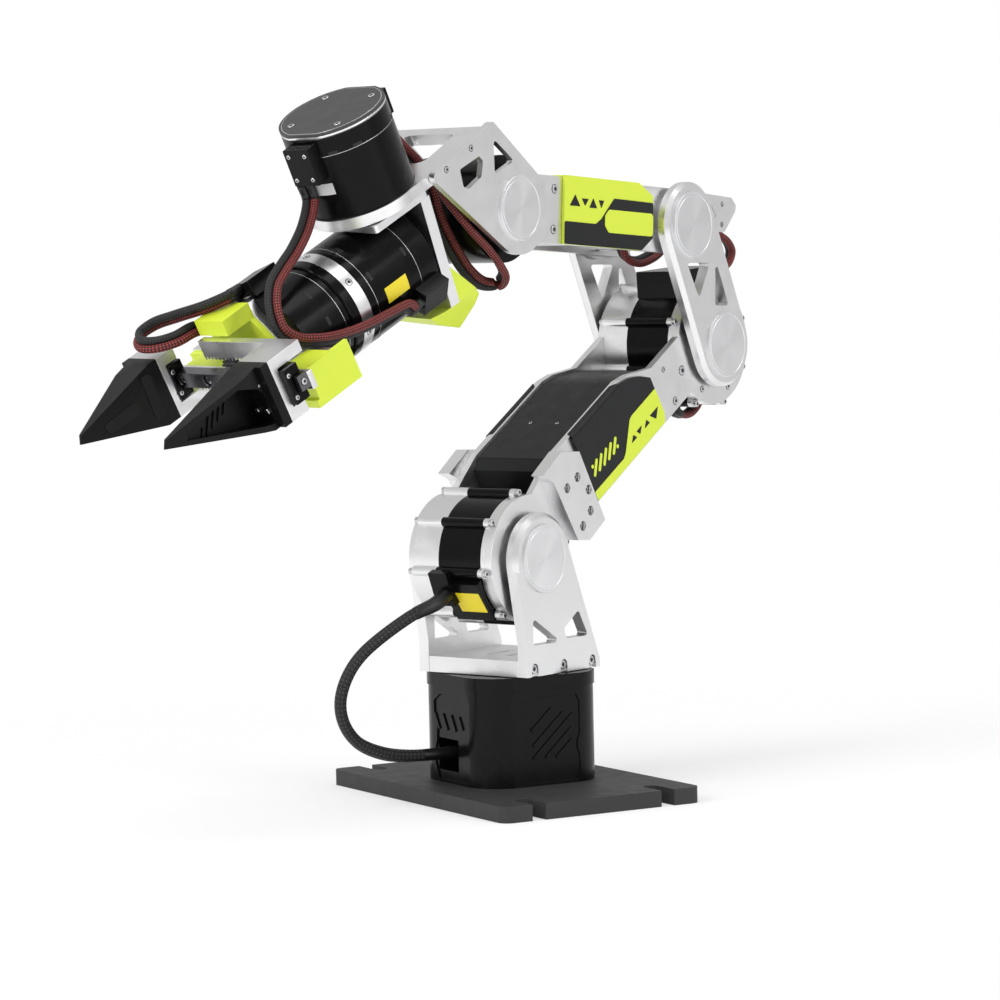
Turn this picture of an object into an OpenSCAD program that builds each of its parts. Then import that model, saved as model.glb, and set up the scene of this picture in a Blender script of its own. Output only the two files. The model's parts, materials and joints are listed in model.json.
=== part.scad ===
// Six-axis desktop robot arm with a parallel gripper.
// X points forward, Y left, Z up. The origin is the centre of the base plate's underside.

/* [Base] */
// Length of the base plate, front to back
plate_l = 120; // [100:1:150]
// Width of the base plate
plate_w = 185; // [150:1:230]
// Thickness of the base plate
plate_t = 8.5; // [5:0.5:15]
// Corner radius of the base plate
plate_r = 6; // [2:1:10]
// Width of the four open clamping slots
slot_w = 8; // [5:0.5:10]
// Depth of each slot from the plate's edge
slot_l = 20; // [12:1:28]
// Distance between the two slots of one edge
slot_spacing = 78; // [60:1:84]
// Side of the square base housing
housing_w = 75; // [70:1:90]
// Height of the base housing without its lid
housing_h = 51; // [40:1:80]
// Corner radius of the base housing
housing_r = 20; // [12:1:24]
// Height of the housing lid
lid_h = 7; // [4:0.5:12]
// Width of the square cable outlet
outlet_w = 21; // [14:1:24]
// Height of the cable outlet
outlet_h = 17; // [12:1:22]

/* [Turntable] */
// Turn of the whole arm on the base
base_yaw = 21.4; // [-30:0.1:30]
// Thickness of the turntable plate
turn_t = 8.5; // [5:0.5:12]
// Depth of the fork, front to back
fork_l = 63; // [56:1:70]
// Inner width of the fork and of the elbow link
fork_gap = 60; // [60:1:70]
// Thickness of the fork's and the elbow link's side plates
fork_t = 6.3; // [4:0.1:8]
// Height of the shoulder axis above the floor
shoulder_z = 128.2; // [122:0.1:150]
// Offset of the shoulder axis in front of the turntable's axis
shoulder_x = 15.6; // [5:0.1:25]
// Radius of the fork's round ends
fork_r = 24; // [20:0.5:28]
// Diameter of the round end caps
cap_d = 36.3; // [30:0.1:40]
// Height of a cap above its plate
cap_h = 1.5; // [0.5:0.1:3]

/* [Arm] */
// Distance between the shoulder and elbow axes
upper_l = 200.8; // [180:0.1:240]
// Slope of the upper arm, down from elbow to shoulder
upper_tilt = 32; // [25:0.1:45]
// Distance between the elbow axis and the forearm's rear cap
link_l = 73.2; // [65:0.1:90]
// Lean of the elbow link above the horizontal
link_tilt = 65.6; // [55:0.1:80]
// Distance between the forearm's rear cap and the wrist axis
fore_l = 152.5; // [145:0.1:190]
// Rise of the forearm above the horizontal
fore_tilt = 3.7; // [-10:0.1:15]
// Thickness of the upper arm's and the forearm's side plates
arm_t = 4; // [2.5:0.1:4.5]
// Gap between the side plates of the upper arm and of the forearm
arm_gap = 47; // [45:0.5:48]
// Radius of the elbow link's round ends
link_r = 23.5; // [20:0.5:26]
// Thickness of the side covers
cover_t = 2; // [1:0.1:2.2]

/* [Motors] */
// Diameter of the shoulder and elbow motors
big_motor_d = 67; // [60:0.5:68]
// Length of the rear cap of the big motors, between the arm plates
big_cap_l = 16; // [10:0.5:20]
// Length of the front flange of the big motors
big_flange_l = 3; // [2:0.5:6]
// Diameter of the wrist, yaw, roll and gripper motors
small_motor_d = 56; // [50:0.5:57]
// Length of the yaw motor above its ring
yaw_motor_l = 42; // [35:0.5:50]
// Length of the roll motor
roll_motor_l = 55; // [45:0.5:58]
// Length of the gripper motor
gripper_motor_l = 36; // [28:0.5:45]

/* [Wrist] */
// Downward pitch of the wrist
wrist_pitch = 28.3; // [0:0.1:40]
// Distance from the wrist axis to the yaw axis
wrist_l = 70.8; // [68:0.1:90]
// Inner width of the wrist fork
wrist_gap = 62; // [62:0.5:66]
// Thickness of the wrist fork's plates
wrist_t = 3.5; // [2.5:0.1:5]
// Height of the bridge ring's underside above the wrist axis
ring_z = 42; // [40:0.5:50]
// Thickness of the bridge ring
ring_t = 6; // [4:0.5:8]
// Turn of the roll unit about the yaw axis
wrist_yaw = -8.1; // [-30:0.1:30]
// Height of the roll axis above the wrist axis
roll_z = 8.5; // [4:0.5:9]
// Turn of the gripper about the roll axis
wrist_roll = 3.6; // [-20:0.1:20]

/* [Gripper] */
// Distance between the jaws, fully open
jaw_open = 65; // [50:0.5:66]
// Width of one jaw block
jaw_w = 21.5; // [18:0.5:24]
// Height of one jaw block
jaw_h = 33.3; // [30:0.1:40]
// Depth of the jaw block's front plate
jaw_front = 4; // [3:0.5:6]
// Length of the fingers in front of the jaw blocks
finger_l = 60; // [40:1:80]
// Gear module of the pinion and the racks
gear_m = 0.8; // [0.6:0.1:1]
// Teeth of the pinion
gear_z = 22; // [18:1:22]
// Thickness of the racks
rack_t = 4.3; // [3:0.1:5]

/* [Hidden] */
$fn = 96;

// Running gap between two pieces that turn on each other
run_gap = 0.3;
// The circles of a rounded outline are this much smaller than its tangent polygon
hair = 0.02;
wall_z = plate_t + housing_h;               // top of the housing's walls
deck_z = wall_z + lid_h;                   // top of the lid
turn_z = deck_z + 0.4;                     // underside of the turntable
hub_r = 20;                                // drive hub through the lid
fork_top = turn_z + turn_t;
elbow_x = shoulder_x - upper_l * cos(upper_tilt);
elbow_z = shoulder_z + upper_l * sin(upper_tilt);
rear_x = elbow_x + link_l * cos(link_tilt);
rear_z = elbow_z + link_l * sin(link_tilt);
wrist_x = rear_x + fore_l * cos(fore_tilt);
wrist_z = rear_z + fore_l * sin(fore_tilt);
arm_half = arm_gap / 2;
arm_out = arm_half + arm_t;                // outer face of the arm plates
fork_half = fork_gap / 2;
fork_out = fork_half + fork_t;
wrist_half = wrist_gap / 2;
big_lug_r = 2.6;
big_lug_x = big_motor_d / 2 + 1;           // centre of a lug, from the motor's axis
big_body_l = arm_gap - big_cap_l - big_flange_l;
small_r = small_motor_d / 2;
fore_low = -16;                            // lower and upper edge of the forearm plates
fore_high = 19.5;
bracket_t = 4;                             // top plate of the yaw bracket
bracket_z = ring_z - 0.5 - bracket_t;
strut_t = 6.5;                             // rear plate of the yaw bracket
strut_x = -13;
roll_back = -7.5;                          // rear of the roll motor's casing
roll_end = strut_x + roll_motor_l;         // front of the roll motor
couple_l = 8;
grip_motor_x = roll_end + couple_l;
base_x = grip_motor_x + gripper_motor_l;   // rear face of the gripper base
base_t = 5;
rack_x = base_x + 24;                      // rear face of the racks
bar_x = rack_x + rack_t + 0.5;
bar_t = 3.4;
rail_x = bar_x + bar_t;
rail_w = 8;
rail_h = 6.5;
car_w = 19;
car_h = 9;                                 // carriage, measured along the fingers
car_x = rail_x + 1;
jaw_x = car_x + car_h;                     // rear face of the jaw block's front plate
front_x = jaw_x + jaw_front;               // front face of the jaw blocks
jaw_mid = 2;                               // height of the jaw blocks' middle over the axis
jaw_top = jaw_mid + jaw_h / 2;
jaw_low = jaw_mid - jaw_h / 2;
pitch_r = gear_m * gear_z / 2;
rack_pitch = PI * gear_m;

// ---- outlines ----

// Outward normal of the straight edge that touches two corner circles
function edge_normal(a, b) =
    let (d = [b[0] - a[0], b[1] - a[1]], l = norm(d), u = d / l)
    let (s = (a[2] - b[2]) / l, c = sqrt(1 - s * s))
    [c * u[1] + s * u[0], -c * u[0] + s * u[1]];

// Convex outline with rounded corners, given counter-clockwise as [x, y, radius]
module rounded(corners) {
    n = len(corners);
    polygon([for (i = [0:n - 1])
        let (a = corners[i], b = corners[(i + 1) % n], v = edge_normal(a, b))
        each [[a[0] + a[2] * v[0], a[1] + a[2] * v[1]], [b[0] + b[2] * v[0], b[1] + b[2] * v[1]]]]);
    for (c = corners)
        if (c[2] > hair) translate([c[0], c[1]]) circle(r = c[2] - hair);
}

// Rectangle with rounded corners about the origin
module round_rect(w, h, r) {
    rounded([
        [-w / 2 + r, -h / 2 + r, r], [w / 2 - r, -h / 2 + r, r],
        [w / 2 - r, h / 2 - r, r], [-w / 2 + r, h / 2 - r, r]
    ]);
}

// Upright plate whose outline lies in X and Z, from y0 to y0 + t
module side_plate(y0, t) {
    translate([0, y0 + t, 0]) rotate([90, 0, 0]) linear_extrude(t) children();
}

// Plate of the same outline on the left (side 1) or the right (side -1)
module on_side(side, inner, t) {
    side_plate(side > 0 ? inner : -inner - t, t) children();
}

// Round piece along Y
module y_disc(r, y0, y1) {
    translate([0, y1, 0]) rotate([90, 0, 0]) cylinder(r = r, h = y1 - y0);
}

// Round piece along Y on the left (side 1) or the right (side -1), from inner to outer
module side_disc(side, r, inner, outer) {
    y_disc(r, side > 0 ? inner : -outer, side > 0 ? outer : -inner);
}

// Round piece along X
module x_disc(r, x0, x1) {
    translate([x0, 0, 0]) rotate([0, 90, 0]) cylinder(r = r, h = x1 - x0);
}

// ---- frames of the moving pieces ----

module at_arm() { rotate([0, 0, base_yaw]) children(); }
module at_shoulder() { at_arm() translate([shoulder_x, 0, shoulder_z]) children(); }
module at_elbow() { at_arm() translate([elbow_x, 0, elbow_z]) children(); }
// Upper arm: X runs from the elbow to the shoulder
module at_upper() { at_elbow() rotate([0, upper_tilt, 0]) children(); }
// Elbow link: X runs from the elbow to the rear cap
module at_link() { at_elbow() rotate([0, -link_tilt, 0]) children(); }
// Forearm: X runs from the rear cap to the wrist
module at_fore() { at_arm() translate([rear_x, 0, rear_z]) rotate([0, -fore_tilt, 0]) children(); }
// Wrist: X runs from the wrist axis to the yaw axis, Z along the yaw axis
module at_wrist() { at_arm() translate([wrist_x, 0, wrist_z]) rotate([0, wrist_pitch, 0]) children(); }
module at_yaw() { at_wrist() translate([wrist_l, 0, 0]) rotate([0, 0, wrist_yaw]) children(); }
module at_roll() { at_yaw() translate([0, 0, roll_z]) children(); }
module at_grip() { at_roll() rotate([wrist_roll, 0, 0]) children(); }

// ---- base ----

module base_plate() {
    color("#33343a") difference() {
        linear_extrude(plate_t) round_rect(plate_l, plate_w, plate_r);
        for (sx = [-1, 1], sy = [-1, 1])
            translate([sx * slot_spacing / 2, sy * plate_w / 2, -1]) {
                translate([0, -sy * (slot_l - slot_w / 2), 0]) cylinder(d = slot_w, h = plate_t + 2);
                translate([-slot_w / 2, sy > 0 ? -slot_l + slot_w / 2 : -1, 0])
                    cube([slot_w, slot_l - slot_w / 2 + 1, plate_t + 2]);
            }
    }
}

outlet_d = 24;                   // depth of the cable outlet
outlet_y = -3.5;                 // middle of the outlet
outlet_low = 6.5;                // its lower edge above the base plate
panel_d = 0.8;                   // sunk panels of the housing
bar_w = 1.5;                     // slanted bars left standing in a panel

// Sunk panel with a stepped outline, less its slanted bars; a bar is [x, z, length]
module side_panel(bars, slope) {
    difference() {
        polygon([
            [-12.5, 1.5], [-16.5, 9.5], [-16.5, 17], [-14.5, 22], [-14, 32], [-17, 36], [-17, 43],
            [-10.5, 47], [18, 47], [20, 43], [20, 26], [18.5, 22], [18.5, 18], [20, 14], [20, 5], [17, 1.5]
        ]);
        for (b = bars)
            translate([b[0], b[1]]) rotate(slope) square([b[2], bar_w]);
    }
}

side_bars = [[-9, 28.5, 17], [-8, 20.5, 25], [-8, 14, 33], [-0.5, 14, 22], [6, 13.5, 13]];
front_bars = [[-11.5, 28.5, 9.5], [-3, 28.5, 9.5], [5.5, 28.5, 9.5], [13, 30, 7.5]];

module base_housing() {
    color("#1b1c20") difference() {
        translate([0, 0, plate_t]) linear_extrude(housing_h)
            round_rect(housing_w, housing_w, housing_r);
        // cable outlet in the front wall
        translate([housing_w / 2 - outlet_d, outlet_y - outlet_w / 2, plate_t + outlet_low])
            cube([outlet_d + 1, outlet_w, outlet_h]);
        // sunk panels on the four walls
        for (a = [0:90:270])
            rotate([0, 0, a]) translate([0, housing_w / 2 - panel_d, plate_t]) rotate([90, 0, 180])
                linear_extrude(panel_d + 1)
                    side_panel(a == 270 ? front_bars : side_bars, a == 270 ? 120 : 42);
    }
}

module housing_lid() {
    color("#202126") translate([0, 0, wall_z]) difference() {
        linear_extrude(lid_h) round_rect(housing_w + 1.5, housing_w + 1.5, housing_r + 0.75);
        translate([0, 0, -1]) cylinder(r = hub_r + 0.5, h = lid_h + 2);
    }
}

// ---- turntable ----

module yaw_hub() {
    color("#9a9da3") at_arm() translate([0, 0, wall_z + run_gap])
        cylinder(r = hub_r, h = turn_z - wall_z - run_gap);
}

module fork_base() {
    color("#c9ccd1") at_arm() translate([-fork_l / 2, -fork_half, turn_z]) difference() {
        cube([fork_l, fork_gap, turn_t]);
        // cable slots and fixing holes in the middle
        for (i = [0, 1])
            translate([fork_l / 2 - 12, fork_gap / 2 - 9 + i * 14, turn_t - 2]) cube([24, 4, 3]);
    }
}

// Outline of a fork side: it leans forward so that the shoulder lies ahead of the turntable
module fork_outline() {
    h = shoulder_z - turn_z;
    rounded([
        [-fork_l / 2, turn_z, 0], [fork_l / 2, turn_z, 0], [fork_l / 2, turn_z + h * 0.28, 0],
        [shoulder_x, shoulder_z, fork_r], [-fork_l / 2, turn_z + h * 0.18, 0]
    ]);
}

module fork_side(side) {
    color("#d5d7db") at_arm() difference() {
        on_side(side, fork_half, fork_t) fork_outline();
        on_side(side, fork_half - 1, fork_t + 2) {
            rounded([[7.5, 84.8, 1.5], [24.5, 84.8, 1.5], [24.5, 95, 1.5]]);
            rounded([[-19, 86, 1.5], [-3.5, 86, 1.5], [-2.5, 89.5, 1.5], [-13, 96.5, 1.5]]);
        }
        // screw seats along the bottom edge
        for (x = [-25, 0, 25])
            translate([x, side > 0 ? fork_out - 2.2 : -fork_out - 1, turn_z - 1]) {
                translate([-2.9, 0, 0]) cube([5.8, 3.2, 5]);
                translate([0, 3.2, 5]) rotate([90, 0, 0]) cylinder(r = 2.9, h = 3.2);
            }
    }
}

module fork_side_left() { fork_side(1); }
module fork_side_right() { fork_side(-1); }

// Pair of caps on both outer faces of a fork of the given half width
module cap_pair(d, half) {
    for (side = [-1, 1])
        side_disc(side, d / 2, half, half + cap_h);
}

module shoulder_caps() { color("#e2e4e7") at_shoulder() cap_pair(cap_d, fork_out); }

// ---- big motors ----

// Motor casing with eight screw lugs, from y0 to y1
module big_casing(y0, y1) {
    side_plate(y0, y1 - y0) {
        circle(d = big_motor_d);
        for (a = [0:45:315]) rotate(a + 22.5) union() {
            translate([big_lug_x, 0]) circle(r = big_lug_r);
            translate([big_lug_x - 4, -big_lug_r]) square([4, 2 * big_lug_r]);
        }
    }
}

module big_motor_cap() { color("#d3d5d9") big_casing(-arm_half, -arm_half + big_cap_l); }
module big_motor_body() { color("#141519") big_casing(-arm_half + big_cap_l, arm_half - big_flange_l); }
module big_motor_flange() { color("#d3d5d9") big_casing(arm_half - big_flange_l, arm_half); }

// Block over the casing, at an angle about the motor's axis: depth, first y, width and length
module motor_block(angle, depth, y0, width, length) {
    rotate([0, -angle, 0]) translate([big_motor_d / 2 - 8, y0, -length / 2])
        cube([8 + depth, width, length]);
}

// The shoulder motor is turned with the upper arm
module at_shoulder_motor() { at_shoulder() rotate([0, upper_tilt, 0]) children(); }
module shoulder_motor_cap() { at_shoulder_motor() big_motor_cap(); }
module shoulder_motor_body() { at_shoulder_motor() big_motor_body(); }
module shoulder_motor_flange() { at_shoulder_motor() big_motor_flange(); }

// Plug of the base cable, and the terminal box under it
module shoulder_connector() {
    color("#15161a") difference() {
        at_shoulder() union() {
            motor_block(-22, 6.3, -9.5, 12, 19);
            motor_block(-37, 2.6, -5, 25, 25);
        }
        at_shoulder_motor() big_casing(-arm_half, arm_half);
    }
}

module elbow_motor_cap() { at_elbow() big_motor_cap(); }
module elbow_motor_body() { at_elbow() big_motor_body(); }
module elbow_motor_flange() { at_elbow() big_motor_flange(); }
module elbow_connector() {
    color("#15161a") at_elbow() difference() {
        motor_block(86, 9, -8.5, big_body_l - 1, 38.3);
        big_casing(-arm_half, arm_half);
    }
}

// ---- upper arm ----

end_r = 33.5;                    // round ends of the upper arm's plates
boss_r = 16;                     // bearing boss between two plates
boss_h = fork_half - arm_out - run_gap;
upper_low = -10.5;               // lower edge of the upper arm
upper_mid = 22;                  // upper edge behind the elbow
upper_high = 33.5;               // upper edge in the middle

module upper_outline() {
    circle(r = end_r);
    translate([upper_l, 0]) circle(r = end_r);
    polygon([
        [20, upper_low], [upper_l - 20, upper_low], [upper_l - 16, 26], [upper_l - 30, 30],
        [upper_l - 45, upper_high], [86, upper_high], [76, 31], [56, upper_mid], [20, upper_mid]
    ]);
}

module upper_plate(side) {
    color("#d5d7db") at_upper() {
        on_side(side, arm_half, arm_t) upper_outline();
        for (x = [0, upper_l])
            translate([x, 0, 0]) side_disc(side, boss_r, arm_out - 0.5, arm_out + boss_h);
    }
}

module upper_plate_left() { upper_plate(1); }
module upper_plate_right() { upper_plate(-1); }

// Stop blocks beside the shoulder
block_t = 8;
block_hole_r = 2.6;
module stop_blocks() {
    color("#d9dbde") at_upper() translate([upper_l, 0, 0])
        for (side = [-1, 1])
            difference() {
                on_side(side, arm_out, block_t) polygon([
                    [-56, -15.5], [-39, -16.5], [-30.5, -10.5], [-30, 27.5], [-24.5, 35.5],
                    [-44.5, 37], [-57.5, 28]
                ]);
                for (p = [[-48.6, 17.7], [-38, 18], [-53, 6.5], [-48.2, -3.9], [-38.1, -6.7]])
                    translate([p[0], 0, p[1]])
                        side_disc(side, block_hole_r, arm_out + block_t / 2, arm_out + block_t + 1);
            }
}

panel_t = 2;
module upper_panels() {
    color("#3a3b40") at_upper() {
        // top panel with its bent ends
        side_plate(-arm_half, arm_gap) polygon([
            [55.5, 20], [76, 29.4], [86, 31.6], [upper_l - 45, 31.6], [upper_l - 45, 29.6],
            [86.4, 29.6], [76.6, 27.5], [56, 17.8]
        ]);
        // shoulder end, bent down towards the motor
        side_plate(-arm_half, arm_gap) polygon([
            [upper_l - 44.6, 31.6], [upper_l - 38.5, 28], [upper_l - 38.5, 5], [upper_l - 40.5, 5],
            [upper_l - 40.5, 26.8], [upper_l - 44.6, 29.6]
        ]);
        // bottom panel
        translate([42, -arm_half, upper_low + 0.6]) cube([upper_l - 84, arm_gap, panel_t]);
    }
}

cover_x0 = 61.5;
cover_x1 = 137.8;
module upper_covers() {
    color("#232428") at_upper()
        for (side = [-1, 1])
            on_side(side, arm_out, cover_t) polygon([
                [cover_x0, -4], [cover_x0 + 2.5, -8.5], [cover_x1, -8.5], [cover_x1, 32.2], [87, 32.2],
                [77, 29.7], [cover_x0 + 7.5, 25.5], [cover_x0, 19.5]
            ]);
}

// ---- elbow link ----

module elbow_link(side) {
    color("#d5d7db") at_link() {
        difference() {
            on_side(side, fork_half, fork_t) rounded([[0, 0, link_r], [link_l, 0, link_r]]);
            on_side(side, fork_half - 1, fork_t + 2) {
                rounded([[20.5, 10.5, 1.5], [24.5, 2.5, 1.5], [41, 10.5, 1.5]]);
                rounded([[36.5, -10.5, 1.5], [54, -12, 1.5], [47, 3, 1.5]]);
            }
        }
        // spacer against the forearm plate
        translate([link_l, 0, 0]) side_disc(side, 18, arm_out, fork_half + 0.5);
    }
}

module elbow_link_left() { elbow_link(1); }
module elbow_link_right() { elbow_link(-1); }

module elbow_caps() {
    color("#e2e4e7") at_link() {
        cap_pair(cap_d, fork_out);
        translate([link_l, 0, 0]) cap_pair(cap_d, fork_out);
    }
}

// ---- forearm ----

wrist_boss_r = 14;
module forearm_outline() {
    translate([fore_l, 0]) circle(r = 18);
    polygon([
        [-37, -2], [-20, fore_low], [fore_l, fore_low], [fore_l, fore_high - 3.5],
        [fore_l - 20, fore_high], [0, fore_high], [-50, 18], [-54.5, 14], [-54, 10.5], [-44, -1.5]
    ]);
}

module forearm_plate(side) {
    color("#d5d7db") at_fore() {
        difference() {
            on_side(side, arm_half, arm_t) forearm_outline();
            on_side(side, arm_half - 1, arm_t + 2) {
                rounded([[-34.5, 7, 1.2], [-28, 7, 1.2], [-28, 13.5, 1.2]]);
                for (p = [[-41, 13.9], [-41, 2.6]]) translate(p) circle(r = 1.6);
            }
        }
        translate([fore_l, 0, 0]) side_disc(side, wrist_boss_r, arm_out - 0.5, wrist_half - run_gap);
    }
}

module forearm_plate_left() { forearm_plate(1); }
module forearm_plate_right() { forearm_plate(-1); }

fcover_x0 = 27.5;
fcover_x1 = 107;
module forearm_cover() {
    color("#b9e21c") at_fore() {
        for (side = [-1, 1])
            on_side(side, arm_out, cover_t) polygon([
                [fcover_x0, -9], [fcover_x0 + 10, fore_low], [fcover_x1, fore_low],
                [fcover_x1, fore_high + 1], [fcover_x0 + 13, fore_high + 1], [fcover_x0, 14]
            ]);
        // roof between the two sides
        translate([fcover_x0 + 13, -arm_out, fore_high])
            cube([fcover_x1 - fcover_x0 - 13, 2 * arm_out, 1]);
    }
}

module forearm_spacers() {
    color("#b5b8bd") at_fore()
        for (p = [[6, -11], [64, -11], [100, -11], [-44, 8]])
            translate([p[0], 0, p[1]]) y_disc(3, -arm_half, arm_half);
}

module wrist_motor() {
    color("#141519") at_fore() translate([fore_l, 0, 0]) y_disc(small_r, -arm_half, arm_half);
}

// ---- wrist ----

module wrist_plate(side) {
    color("#d5d7db") at_wrist() difference() {
        on_side(side, wrist_half, wrist_t) rounded([[0, 0, fork_r], [51, 45.5, 3], [-1, 46.5, 3]]);
        on_side(side, wrist_half - 1, wrist_t + 2) {
            rounded([
                [20, 30, 1], [31.5, 29.5, 1], [34, 32, 1],
                [32.5, 39.5, 1], [16.5, 38, 1], [15.5, 35.5, 1]
            ]);
            rounded([[-6, 25, 1.5], [7, 26, 1.5], [1, 38, 1.5]]);
        }
    }
}

module wrist_plate_left() { wrist_plate(1); }
module wrist_plate_right() { wrist_plate(-1); }

module wrist_caps() { color("#e2e4e7") at_wrist() cap_pair(cap_d - 2.5, wrist_half + wrist_t); }

ring_r = 29.5;
seat_z = 2;                      // floor of the yaw motor's seat in the ring
module bridge_ring() {
    color("#d0d2d6") at_wrist() translate([0, 0, ring_z]) difference() {
        linear_extrude(ring_t) {
            translate([wrist_l, 0]) circle(r = ring_r);
            polygon([
                [0, -wrist_half], [52, -wrist_half], [wrist_l, -ring_r + 0.5], [wrist_l, ring_r - 0.5],
                [52, wrist_half], [0, wrist_half]
            ]);
        }
        // seat of the motor, and the cable window behind it
        translate([wrist_l, 0, seat_z]) cylinder(r = small_r + 0.2, h = ring_t);
        translate([0, 0, -1]) linear_extrude(ring_t + 2)
            rounded([[12, -12, 5], [34, -12, 5], [34, 12, 5], [12, 12, 5]]);
    }
}

yaw_top_t = 3;
yaw_top_z = ring_z + seat_z + yaw_motor_l + ring_t;
module yaw_motor() {
    color("#121316") at_wrist() translate([wrist_l, 0, ring_z + seat_z])
        cylinder(r = small_r, h = yaw_motor_l + ring_t);
}

module yaw_motor_top() {
    color("#4a4b4e") at_wrist() translate([wrist_l, 0, yaw_top_z]) intersection() {
        cylinder(r = small_r, h = yaw_top_t);
        translate([-26.5, -50, -1]) cube([53, 100, yaw_top_t + 2]);
    }
}

// Connector block on a small motor: depth over the casing, width, height, from z0 up
module small_connector(w, h, z0) {
    difference() {
        translate([small_r - 6, -w / 2, z0]) cube([13, w, h]);
        translate([0, 0, z0 - 1]) cylinder(r = small_r, h = h + 2);
    }
}

module yaw_connectors() {
    color("#17181b") at_wrist() translate([wrist_l, 0, 0]) {
        small_connector(16, 20, yaw_top_z - 21);
        rotate([0, 0, 180]) small_connector(16, 14, yaw_top_z - 16);
    }
}

// ---- roll unit ----

strut_back = strut_x - strut_t;
strut_low = -24.5;               // lower end of the rear plate
module yaw_bracket() {
    color("#d9dbde") at_yaw() {
        // top plate under the ring
        translate([0, 0, bracket_z]) linear_extrude(bracket_t) rounded([
            [strut_back + 2, -24, 2], [18.5, -24, 2], [18.5, 24, 2], [strut_back + 2, 24, 2]
        ]);
        // rear plate, narrower towards the bottom
        translate([strut_back, 0, 0]) rotate([90, 0, 90]) linear_extrude(strut_t) polygon([
            [-26, bracket_z + 0.5], [-20, strut_low], [20, strut_low], [26, bracket_z + 0.5]
        ]);
        // drive hub under the ring
        translate([0, 0, bracket_z]) cylinder(r = 14, h = ring_z - run_gap - bracket_z);
    }
}

module bracket_guard() {
    color("#b9e21c") at_roll() intersection() {
        side_plate(-20, 40) polygon([
            [strut_back - 0.1, -10.5], [-37, -38.5], [-34.5, -43.5], [-24, -52], [-4, -38], [3, -30.5],
            [-9, strut_low - roll_z], [strut_back - 0.1, strut_low - roll_z]
        ]);
        // lower side edges cut back, which clears the shoulder motor when the arm is folded
        translate([-60, 0, 0]) rotate([90, 0, 90]) linear_extrude(80) polygon([
            [-20, 0], [-20, -32], [-6.6, -53.6], [6.6, -53.6], [20, -32], [20, 0]
        ]);
    }
}

// Casing, and the smaller boss that bolts it to the rear plate
module roll_motor() {
    color("#121316") at_roll() {
        x_disc(small_r, roll_back, roll_end);
        x_disc(small_r - 7, strut_x, roll_back + 1);
    }
}

module roll_connector() {
    color("#17181b") at_roll() translate([roll_back + 0.5, 0, 0]) rotate([0, 90, 0]) rotate([0, 0, 60])
        small_connector(14, 18, 0);
}

// ---- gripper ----

module coupling_ring() {
    color("#cfd1d5") at_grip() x_disc(small_r + 0.3, roll_end + run_gap, grip_motor_x);
}
module gripper_motor() { color("#121316") at_grip() x_disc(small_r - 1, grip_motor_x, base_x); }

module gripper_connector() {
    color("#17181b") at_grip() {
        for (a = [12, 197])
            translate([base_x - 21, 0, 0]) rotate([0, 90, 0]) rotate([0, 0, a])
                small_connector(20, 20, 0);
    }
}

base_half = 62;                  // the rail's half length
plate_right = 47.5;              // ends of the base plate
plate_left = -60;

// Base plate seen from the front: an arm to each side and a lobe up over the rack's end.
// The outline stands back by inset.
module gripper_plate(inset) {
    polygon([
        [plate_left + inset, -12 + inset], [-24, -22 + inset], [24, -24 + inset],
        [plate_right - inset, -19 + inset], [plate_right - inset, -inset], [16 - inset, -inset],
        [7 - inset, 14], [2 - inset, 20], [0.5 - inset, 27 - inset], [-23 + inset, 27 - inset],
        [-30 + inset, 20], [-40, -inset], [plate_left + inset, -inset]
    ]);
}

post_y = 22;                     // the posts of the rail bar
post_w = 6;
post_low = -6;
post_h = 5;
module gripper_base() {
    color("#d3d5d9") at_grip() {
        translate([base_x, 0, 0]) rotate([90, 0, 90]) linear_extrude(base_t) gripper_plate(0);
        for (side = [-1, 1])
            translate([base_x + base_t - 0.5, side * post_y - post_w / 2, post_low])
                cube([bar_x - base_x - base_t + 0.5, post_w, post_h]);
    }
}

bar_low = -4.5;                  // lower edge of the rail bar
bar_h = 9.5;
module rail_bar() {
    color("#d3d5d9") at_grip() difference() {
        translate([bar_x, -base_half + 1, bar_low]) cube([bar_t, 2 * base_half - 2, bar_h]);
        x_disc(shaft_r + 0.5, bar_x - 1, bar_x + bar_t + 1);
    }
}

rail_hole_r = 3;
module rail() {
    color("#4c4e53") at_grip() difference() {
        translate([rail_x, -base_half + 1, jaw_mid - rail_w / 2])
            cube([rail_h, 2 * base_half - 2, rail_w]);
        for (y = [-50:20:50])
            translate([0, y, jaw_mid]) x_disc(rail_hole_r, rail_x + rail_h - 3.5, rail_x + rail_h + 1);
    }
}

guard_t = 3;                     // the cover on the front of the base plate
guard_x = base_x + base_t;
rack_gap = 0.8;                  // kept clear round the racks
module gripper_guards() {
    color("#b9e21c") at_grip() difference() {
        union() {
            translate([guard_x, 0, 0]) rotate([90, 0, 90]) linear_extrude(guard_t) gripper_plate(1);
            // hood over the upper rack's end
            translate([guard_x, -20.5, jaw_top + rack_gap]) cube([19, 22, 8.2]);
            // box beside the pinion
            translate([guard_x, -49, -12]) cube([rack_x - rack_gap - guard_x, 36, 11.5]);
            // block round the lower rack's end, wrapped over the end of the base plate
            translate([guard_x, 31, -19.5]) cube([20, 19, 21]);
            translate([guard_x - 11, plate_right, -19.5]) cube([12, 2.5, 21]);
        }
        // way of the lower rack
        translate([rack_x - rack_gap, 0, jaw_low - rack_gap]) cube([10, 60, pitch_r]);
        // way of the shaft and the posts
        x_disc(shaft_r + 1, guard_x - 1, guard_x + 10);
        for (side = [-1, 1])
            translate([guard_x - 1, side * post_y - post_w / 2, post_low]) cube([30, post_w, post_h]);
    }
}

// ---- gears ----

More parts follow.
